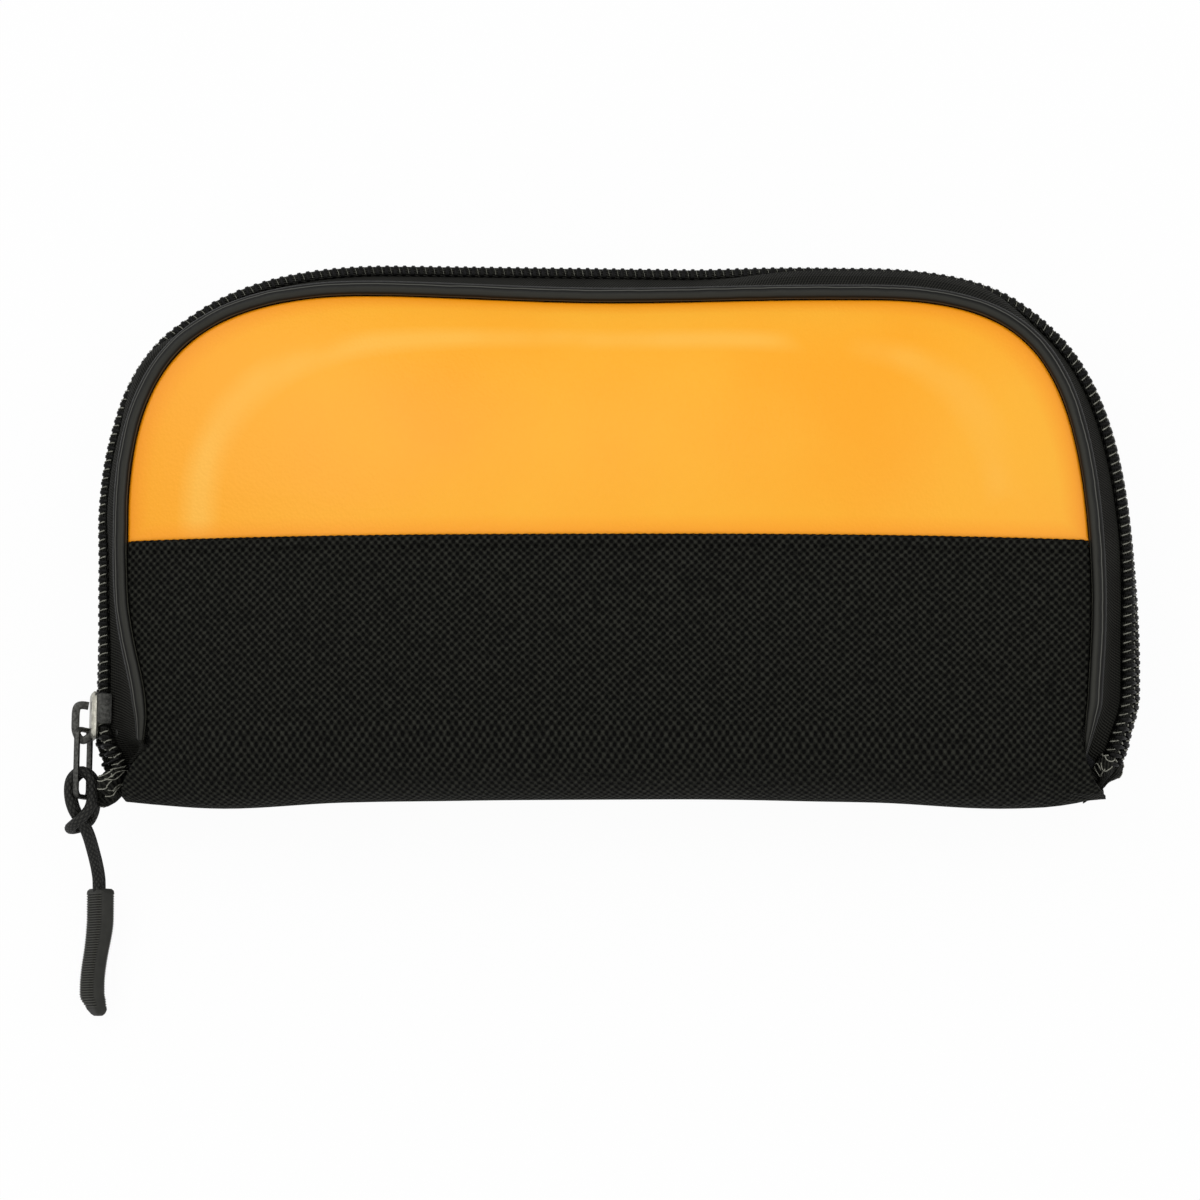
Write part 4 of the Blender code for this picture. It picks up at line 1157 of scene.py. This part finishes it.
def end_section(share, angle, right):
    """Run, outward offset and depth of points on a tape's folded end, from its foot (0) to its top (1)"""
    low, high = run_at_height(END_FOOT, right), run_at_height(RIGHT_END_TOP if right else LEFT_END_TOP, right)
    if right:
        swell = smooth((share - 0.42) / 0.30)
        wide, tall, uneven = 0.0004 + 0.0013 * swell, 0.0008 + 0.0019 * swell, 1.0
    else:
        wide = 2.6 * (0.0010 + 0.0007 * smooth(share * 1.6))
        tall = 1.2 * (0.0009 + 0.0018 * smooth(share * 1.3))
        uneven = 1.8
    shut = np.sqrt(np.clip(1 - ((share - 0.5) / 0.5) ** 8, 0.02, 1))
    ripple = 1 + uneven * (0.06 * np.sin(5 * angle + 9 * share) + 0.03 * np.sin(11 * angle - 14 * share))
    outward = 0.0002 + wide * 0.6 + wide * shut * ripple * np.cos(angle)
    depth = 0.0001 + tall + tall * shut * ripple * np.sin(angle)
    return low + (high - low) * share, outward, np.maximum(depth, 0.0001)


def zip_end_piece(name, side, right):
    """Folded and sewn end of a tape, which closes over the last teeth and runs in to the fold's corner"""
    shares = np.linspace(0, 1, 22)
    angle = circle(20)
    sections = [end_section(share, angle, right) for share in shares]
    rows = [wall_points(np.full(len(angle), run), outward, depth, side) for run, outward, depth in sections]
    around = np.tile(np.linspace(0, 1, len(angle), endpoint=False) * 1.1, (len(shares), 1))
    along = np.repeat(np.array([[run] for run, _, _ in sections]) / CENTIMETRE, len(angle), axis=1)
    mesh = grid_mesh(name, rows, np.stack([around, along], axis=2), tube=True)
    return finish_piece(mesh, "tape", BODIES[side], (name,))


def end_thread_piece(name, side, right):
    """Stitches drawn round the folded end, only over its thick upper half on the right"""
    parts = []
    for share, slant, first, last in END_THREADS:
        if right and share < 0.5:
            continue
        angle = np.linspace(first, last, 12)
        middle = share + slant * np.linspace(-0.5, 0.5, 12) ** 2 * 4
        run, outward, depth = end_section(np.clip(middle, 0.03, 0.97), angle, right)
        path = wall_points(run, outward + 0.00008 * np.cos(angle), depth + 0.00010 * np.sin(angle), side)
        parts.append(thread_part(path, END_THREAD_RADIUS))
    return finish_piece(joined_mesh(name, parts), "thread", BODIES[side])


def fold_piece():
    """Cloth of the fold between the two halves. On the case it turns as the case opens; here it is fixed to
    neither half and does not turn
    """
    x = np.linspace(FLAT_OUTLINE[0, 0], FLAT_OUTLINE[WALL_STATIONS, 0], 90) * 0.995
    rows = []
    for t in np.linspace(-1, 1, 15):
        turn = t * FOLD_STRIP_HALF / HALF_DEPTH
        inward = 0.00095 + 0.0010 * (1 - t**2)
        y = FOLD_Y + inward + HALF_DEPTH * (1 - math.cos(turn)) + fold_lift(x, 0.0)
        rows.append(np.column_stack([x, y, np.full(len(x), ZIP_MIDDLE + HALF_DEPTH * math.sin(turn))]))
    uv = np.array(rows)[:, :, (0, 2)] / CENTIMETRE
    obj = thicken(finish_piece(grid_mesh("fold_strip", rows, uv), "fabric", None), FOLD_STRIP_THICKNESS, 0)
    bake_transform(obj)


def zip_half(prefix, side):
    """Everything on the wall of one half: tape, binding, piping, teeth with their threads, and the ends"""
    for name, profile_at, height, count, thickness, paint in (
        ("_zip_tape", tape_profile, ZIP_END_HEIGHT, 300, TAPE_THICKNESS, "tape"),
        ("_seam_binding", binding_profile, BINDING_END_HEIGHT, 200, BINDING_THICKNESS, "binding"),
    ):
        strip_piece(prefix + name, side, profile_at, runs_above(height, count), thickness, paint)
    piping_piece(prefix + "_piping", side)
    coil_piece(prefix + "_zip_coil", side)
    stitch_piece(prefix + "_coil_stitches", side)
    coil_core_piece(prefix + "_coil_core", side)
    for end, right in (("left", False), ("right", True)):
        zip_end_piece(f"{prefix}_zip_end_{end}", side, right)
        end_thread_piece(f"{prefix}_end_stitches_{end}", side, right)


def lining_depth(share, w):
    """Depth of the lining under the panel's face: over the padding, and out to the seam at its edge"""
    seamward = smooth((share - 0.88) / 0.09) * smooth((w - 0.012) / 0.012)
    return LINING_DEPTH + (LINING_SEAM_DEPTH - LINING_DEPTH) * seamward


# The two halves
hem_cuts = SEAM - np.array([*np.arange(2, 35, 4) / 10000, 0.0040])
vinyl_cuts = SEAM + np.array([-0.0010, -0.0004, 0.0002, 0.0007, 0.0012, 0.0018, 0.0026, 0.0036])
panel(
    "front_vinyl_panel", FRONT, FABRIC_THICKNESS - VINYL_THICKNESS, VINYL_THICKNESS, "vinyl",
    low=SEAM - VINYL_TUCK, cuts=vinyl_cuts, relief=vinyl_relief,
)
panel(
    "front_fabric_panel", FRONT, 0.0, FABRIC_THICKNESS * 0.9, "fabric",
    high=SEAM, cuts=hem_cuts, relief=hem_relief,
)
panel("back_fabric_panel", BACK, 0.0, FABRIC_THICKNESS, "fabric")
for prefix, side in (("front", FRONT), ("back", BACK)):
    name, pad = prefix + "_lining", prefix + "_foam_pad"
    cover = panel(name, side, lining_depth, LINING_THICKNESS, "lining", (pad,), reach=LINING_REACH)
    zip_half(prefix, side)
panel(
    "inner_pocket", FRONT, POCKET_DEPTH, LINING_THICKNESS, "lining",
    high=POCKET_TOP, reach=POCKET_REACH,
)
panel(
    "pocket_elastic", FRONT, POCKET_DEPTH, ELASTIC_THICKNESS, "elastic",
    low=POCKET_TOP + GAP, high=POCKET_TOP + POCKET_BAND, reach=POCKET_REACH,
)
fold_piece()

# Edge yarn of the fabric, one bead for each float of the weave
x, seam_path = seam_line(900)
beads = YARN_RADIUS * (0.72 + 0.28 * np.cos(2 * math.pi * x / (2 * YARN)))
finish_piece(tube_mesh("hem_edge_yarn", seam_path, beads, 8), "fabric", "front_half")


# Pull

link_low, link_high = (np.array(corner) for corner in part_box("puller_link"))
PIVOT = np.array([(link_low[0] + link_high[0]) / 2, link_high[1] - LINK_BAR / 2, ZIP_MIDDLE])

# Half of the cord's route from the grip's mouth to the end of its loop, from the link's pivot
HALF_ROUTE = (
    (0.0013, -0.0350, 0.00135),
    (0.0013, -0.0315, 0.00135),
    (0.0010, -0.0270, 0.00135),
    (0.0003, -0.0220, 0.00135),
    (-0.0018, -0.0178, 0.00135),
    (-0.0026, -0.0142, 0.00135),
    (-0.0022, -0.0110, 0.00135),
    (0.0000, -0.0093, 0.00135),
    (0.0022, -0.0110, 0.00135),
    (0.0026, -0.0145, 0.00145),
    (0.0022, -0.0174, 0.0024),
    (0.0006, -0.0196, 0.0040),
    (-0.0015, -0.0210, 0.0036),
    (-0.0029, -0.0216, 0.0018),
    (-0.0033, -0.0217, 0.0),
)
CORD_SPACING = 0.0006
CORD_SAG_START = -0.0150
CORD_SAG_END = -0.0350
CORD_SAG = 0.0136

# Width of the grip at shares of its length from the mouth
GRIP_OUTLINE = (
    (0, 0.80), (0.015, 0.95), (0.04, 1), (0.3, 1), (0.5, 0.93),
    (0.7, 0.92), (0.87, 0.93), (0.95, 0.72), (0.985, 0.50), (1, 0.30),
)


def cord_path(spacing):
    """Even points on a smooth curve through the cord's route"""
    half = np.array(HALF_ROUTE)
    back = half[-2::-1] * (1, 1, -1)
    points = np.concatenate([half, back])
    along = points[:, 1].copy()
    points = points + PIVOT
    points[:, 2] -= CORD_SAG * smooth((CORD_SAG_START - along) / (CORD_SAG_START - CORD_SAG_END))
    points = np.concatenate([[2 * points[0] - points[1]], points, [2 * points[-1] - points[-2]]])
    fine = []
    for a, b, c, d in zip(points, points[1:], points[2:], points[3:]):
        second, third = 2 * a - 5 * b + 4 * c - d, 3 * b - a - 3 * c + d
        for t in np.arange(12) / 12:
            fine.append(0.5 * (2 * b + (c - a) * t + second * t**2 + third * t**3))
    fine = np.array([*fine, points[-2]])
    run = run_of(fine)
    even = np.linspace(0, run[-1], int(round(run[-1] / spacing)) + 1)
    return at_runs(even, run, fine), run[-1]


def grip_sway(t):
    """Sideways bend of the grip along its length"""
    return -0.0017 * smooth((t - 0.22) / 0.55) + 0.0014 * smooth((t - 0.82) / 0.18)


def grip_piece():
    """Moulded grip: ribbed on its two wide faces, smooth on the narrow ones, with a bend along it"""
    mouth = PIVOT + (HALF_ROUTE[0][0] + GRIP_SHIFT, HALF_ROUTE[0][1] + GRIP_RISE - GAP, -CORD_SAG)
    rings, sides = 330, 40
    share = np.linspace(0, 1, rings)
    size = np.interp(share, *zip(*GRIP_OUTLINE))
    rib = 0.5 + 0.5 * np.cos(2 * math.pi * share * GRIP_LENGTH / RIB_PITCH)
    inside = smooth((share - 0.03) / 0.02) * smooth((0.95 - share) / 0.03)
    round_x, round_n = squared(circle(sides), 0.45)
    sin = np.sin(circle(sides))
    faced = smooth((np.abs(sin) - 0.30) / 0.25)
    rows = []
    for t, scale, crest, deep in zip(share, size, rib, inside):
        along = -GRIP_LENGTH * t
        wide = GRIP_WIDTH / 2 * scale * round_x
        thick = GRIP_THICKNESS / 2 * scale * round_n
        thick = thick - np.sign(sin) * RIB_DEPTH * (1 - crest) * faced * deep
        x = wide * math.cos(GRIP_ROLL) - thick * math.sin(GRIP_ROLL) + grip_sway(t)
        z = wide * math.sin(GRIP_ROLL) + thick * math.cos(GRIP_ROLL) + along * math.sin(GRIP_TILT)
        rows.append(mouth + np.column_stack([x, np.full(sides, along * math.cos(GRIP_TILT)), z]))
    down = share * GRIP_LENGTH / CENTIMETRE
    uv = np.stack(np.meshgrid(down, np.arange(sides) / sides, indexing="ij")[::-1], axis=2)
    mesh = grid_mesh("pull_grip", rows, uv, tube=True)
    return finish_piece(mesh, "rubber", "pull", ("pull_grip",))


grip = grip_piece()
path, cord_length = cord_path(CORD_SPACING)
cord = finish_piece(tube_mesh("pull_cord", path, CORD_DIAMETER / 2, 14), "cord", "pull", ("pull_cord",))


# Slider and link


def rounded_outline(low, high, half_width, radius, steps=5):
    """Rounded rectangle from low to high along, half_width to each side across"""
    points = []
    right, top, foot = half_width - radius, high - radius, low + radius
    for quarter, (along, across) in enumerate(((top, right), (foot, right), (foot, -right), (top, -right))):
        for step in range(steps + 1):
            angle = math.pi / 2 * (quarter + step / steps)
            points.append((along + radius * math.cos(angle), across + radius * math.sin(angle)))
    return np.array(points)


def plate_part(outline, low, high, edge=0.00025):
    """Points and faces of a flat plate with eased edges: its outline, and how far out it starts and ends"""
    middle = outline.mean(axis=0)
    inner = middle + (outline - middle) * (1 - edge / np.abs(outline - middle).max())
    rows = [(inner, low), (outline, low + edge), (outline, high - edge), (inner, high)]
    count = len(outline)
    points = np.concatenate([np.column_stack([np.full(count, out), ring]) for ring, out in rows])
    return points, ring_faces(len(rows), count)


def bar_part(path, wide, deep, across, closed=False):
    """Points and faces of a bar of rounded square section along a path that is flat across one direction"""
    path, across = np.asarray(path, dtype=float), np.asarray(across, dtype=float)
    if closed:
        tangent = np.roll(path, -1, axis=0) - np.roll(path, 1, axis=0)
    else:
        tangent = np.gradient(path, axis=0)
    tangent /= np.linalg.norm(tangent, axis=1)[:, None]
    cos, sin = squared(circle(BAR_SIDES), 0.6)
    beside = np.cross(tangent, across)
    points = path[:, None] + wide / 2 * cos[None, :, None] * beside[:, None]
    points = points + deep / 2 * sin[None, :, None] * across
    rows, sides = len(path), BAR_SIDES
    faces = []
    for i in range(rows if closed else rows - 1):
        for j in range(sides):
            k, after = (j + 1) % sides, (i + 1) % rows
            faces.append((i * sides + j, after * sides + j, after * sides + k, i * sides + k))
    if not closed:
        faces += [tuple(range(sides)), tuple(range(sides * (rows - 1), sides * rows))[::-1]]
    return points.reshape(-1, 3), faces


def eased_path(points, count):
    """Even points on a smooth curve through a few"""
    points = np.asarray(points, dtype=float)
    for _ in range(3):
        cut_in = np.empty((2 * len(points) - 2, points.shape[1]))
        cut_in[0::2] = 0.75 * points[:-1] + 0.25 * points[1:]
        cut_in[1::2] = 0.25 * points[:-1] + 0.75 * points[1:]
        points = np.concatenate([points[:1], cut_in, points[-1:]])
    run = run_of(points)
    return at_runs(np.linspace(0, run[-1], count), run, points)


def metal_piece(name, parts, body, paint="metal", replaced=()):
    """Piece of some parts in metal, with its sharp edges kept"""
    mesh = joined_mesh(name, parts)
    bm = bmesh.new()
    bm.from_mesh(mesh)
    bmesh.ops.recalc_face_normals(bm, faces=bm.faces)
    bm.to_mesh(mesh)
    bm.free()
    obj = finish_piece(mesh, paint, body, replaced)
    mesh.set_sharp_from_angle(angle=math.radians(35))
    return obj


def slider_piece():
    """Cast slider: two plates, their flanges over the teeth, the divider, and a hook for the link"""
    foot, head = -SLIDER_LENGTH / 2, SLIDER_LENGTH / 2
    plate = rounded_outline(foot, head, SLIDER_HALF_WIDTH, 0.0017)
    cover = rounded_outline(foot, head, SLIDER_HALF_WIDTH + 0.0002, 0.0019)
    cover = plate_part(cover, PLATE_LOW, SLIDER_OUTER_FACE, 0.0005)
    parts = [plate_part(plate, -SLIDER_INNER_FACE, -SLIDER_INNER_HIGH)]
    rim_low, rim_high = head - RIM_LENGTH - 0.0006, head - 0.0005
    for sign in (1, -1):
        rim = rounded_outline(rim_low, rim_high, RIM_THICKNESS / 2, 0.00035, 3)
        rim[:, 1] += sign * (SLIDER_HALF_WIDTH - RIM_THICKNESS / 2)
        points, faces = plate_part(rim, RIM_CLEARANCE, SLIDER_OUTER_LOW + 0.0003, 0.00018)
        reach = np.clip((np.abs(points[:, 2]) - SLIDER_HALF_WIDTH + RIM_THICKNESS) / RIM_THICKNESS, 0, 1)
        points[:, 0] -= RIM_SLANT * reach * (points[:, 0] < 0.001)
        parts.append((points, faces))
    half = DIVIDER_HALF_WIDTH
    flank = ((foot + 0.0002, half), (foot + 0.0005, half), (foot + DIVIDER_LENGTH, half * 0.2))
    mirrored = [(along, -across) for along, across in flank]
    divider = np.array([mirrored[0], *flank, *mirrored[:0:-1]])[::-1]
    parts.append(plate_part(divider, -SLIDER_INNER_HIGH - 0.0002, SLIDER_OUTER_LOW + 0.0002, 0.0001))
    face = SLIDER_OUTER_FACE
    bar = face + HOOK_REACH
    tip = foot + HOOK_LENGTH - HOOK_BAR / 2
    hook = eased_path((
        (face - 0.0006, foot + 0.0016), (face + 0.0002, foot + 0.0004), (face + 0.0014, foot - 0.0004),
        (bar - 0.0008, foot + 0.0001), (bar, foot + 0.0018), (bar, (foot + tip) / 2), (bar, tip - 0.0012),
        (bar - 0.0004, tip - 0.0001), (bar - 0.0015, tip + 0.0001), (face + 0.0005, tip - 0.0001),
    ), 40)
    parts.append(bar_part(np.column_stack([hook, np.zeros(len(hook))]), HOOK_BAR, HOOK_DEPTH, (0, 0, 1)))
    parts = [on_chain(part) for part in parts]
    metal_piece("slider_body", parts, "slider", replaced=("slider_body",))
    # The cover plate takes the lighter copy of the metal, painted light for the light that falls on it
    metal_piece("slider_cover", [on_chain(cover)], "slider", "painted_light_metal")


def on_chain(part):
    """A part of the slider, from its own outward, along and across to its place on the rolled chain"""
    (out, along, deep), faces = part[0].T, part[1]
    cos, sin = math.cos(CHAIN_ROLL), math.sin(CHAIN_ROLL)
    x = -WALL_HALF_WIDTH - (out * cos - deep * sin)
    return np.column_stack([x, FOLD_Y + SLIDER_HEIGHT + along, ZIP_MIDDLE + out * sin + deep * cos]), faces


def link_piece():
    """Flat link that hangs in the hook, turned about its length"""
    ring = rounded_outline(LINK_BAR - LINK_LENGTH, 0.0, LINK_HALF_WIDTH - LINK_BAR / 2, 0.0016, 6)
    cos, sin = math.cos(LINK_TWIST), math.sin(LINK_TWIST)
    path = np.column_stack([ring[:, 1] * sin, ring[:, 0], ring[:, 1] * cos]) + PIVOT
    part = bar_part(path, LINK_BAR, LINK_THICKNESS, (cos, 0, -sin), closed=True)
    metal_piece("puller_link", [part], "puller", replaced=("puller_link",))


slider_piece()
link_piece()


# Setting

FLOOR_HALF = 3.0
FLOOR_Z = -0.0002
WORLD_LEVEL = 0.62
CAMERA_LENS = 157.07
CAMERA_DISTANCE = 1.15
CAMERA_TARGET = (-0.0027, -0.0151, 0.0190)
CAMERA_RIGHT = math.radians(7.45)
CAMERA_BELOW = math.radians(6.5)


def floor():
    """White floor that the camera sees almost without shadows"""
    steps = np.linspace(-FLOOR_HALF, FLOOR_HALF, 5)
    points = [[(x, y, FLOOR_Z) for x in steps] for y in steps]
    mesh = grid_mesh("floor", points, [[(x, y) for x in range(5)] for y in range(5)])
    obj = placed("floor", mesh)
    shader = Shader("floor_white", (0.9, 0.9, 0.9), 0.9)
    cloud = shader.noise(3, 2)
    shader.paint(shader.mix(cloud, (0.88, 0.88, 0.88), (0.90, 0.90, 0.90)))
    mixer = shader.node("MixShader")
    white = shader.node("Emission")
    white.inputs["Strength"].default_value = 1.0
    output = shader.tree.nodes["Material Output"]
    seen = shader.node("LightPath").outputs["Is Camera Ray"]
    shader.put(shader.times(seen, 0.96), mixer.inputs[0])
    shader.tree.links.new(shader.surface.outputs[0], mixer.inputs[1])
    shader.tree.links.new(white.outputs[0], mixer.inputs[2])
    shader.tree.links.new(mixer.outputs[0], output.inputs["Surface"])
    mesh.materials.append(shader.material)


def world(level):
    """Soft grey light all round, white where it is seen or mirrored"""
    made = bpy.data.worlds.new("studio")
    bpy.context.scene.world = made
    made.use_nodes = True
    tree = made.node_tree
    path = tree.nodes.new("ShaderNodeLightPath")
    seen = path.outputs["Is Camera Ray"]
    for kind in ("Is Glossy Ray", "Is Transmission Ray"):
        both = tree.nodes.new("ShaderNodeMath")
        both.operation = "ADD"
        tree.links.new(seen, both.inputs[0])
        tree.links.new(path.outputs[kind], both.inputs[1])
        seen = both.outputs[0]
    strength = tree.nodes.new("ShaderNodeMapRange")
    strength.inputs["To Min"].default_value = level
    strength.inputs["To Max"].default_value = 1.0
    tree.links.new(seen, strength.inputs["Value"])
    background = tree.nodes["Background"]
    background.inputs["Color"].default_value = (1, 1, 1, 1)
    tree.links.new(strength.outputs[0], background.inputs["Strength"])


def area_light(name, place, width, height, power):
    """Soft light aimed at the case"""
    light = bpy.data.lights.new(name, "AREA")
    light.shape = "RECTANGLE"
    light.size = width
    light.size_y = height
    light.energy = power
    obj = placed(name, light)
    obj.location = place
    obj.rotation_euler = (-Vector(place)).to_track_quat("-Z", "Y").to_euler()


def camera():
    """Camera at the photograph's angle: from a little to the right of the front and below it"""
    data = bpy.data.cameras.new("camera")
    data.sensor_width = 36
    data.lens = CAMERA_LENS
    data.clip_end = 20
    obj = placed("camera", data)
    back = Vector((math.tan(CAMERA_RIGHT), -math.tan(CAMERA_BELOW), 1)).normalized()
    right = (Vector((1, 0, 0)) - back * back.x).normalized()
    up = back.cross(right)
    place = Vector(CAMERA_TARGET) + back * CAMERA_DISTANCE
    columns = (right.to_4d(), up.to_4d(), back.to_4d(), place.to_4d())
    turn = Matrix(columns).transposed()
    turn[3] = (0, 0, 0, 1)
    obj.matrix_world = turn
    bpy.context.scene.camera = obj


floor()
world(WORLD_LEVEL)
area_light("key", (-0.55, 0.50, 1.10), 0.9, 0.9, 4.6)
area_light("fill", (0.75, 0.20, 0.95), 0.7, 0.9, 3.0)
camera()
bpy.context.scene.view_settings.view_transform = "Standard"
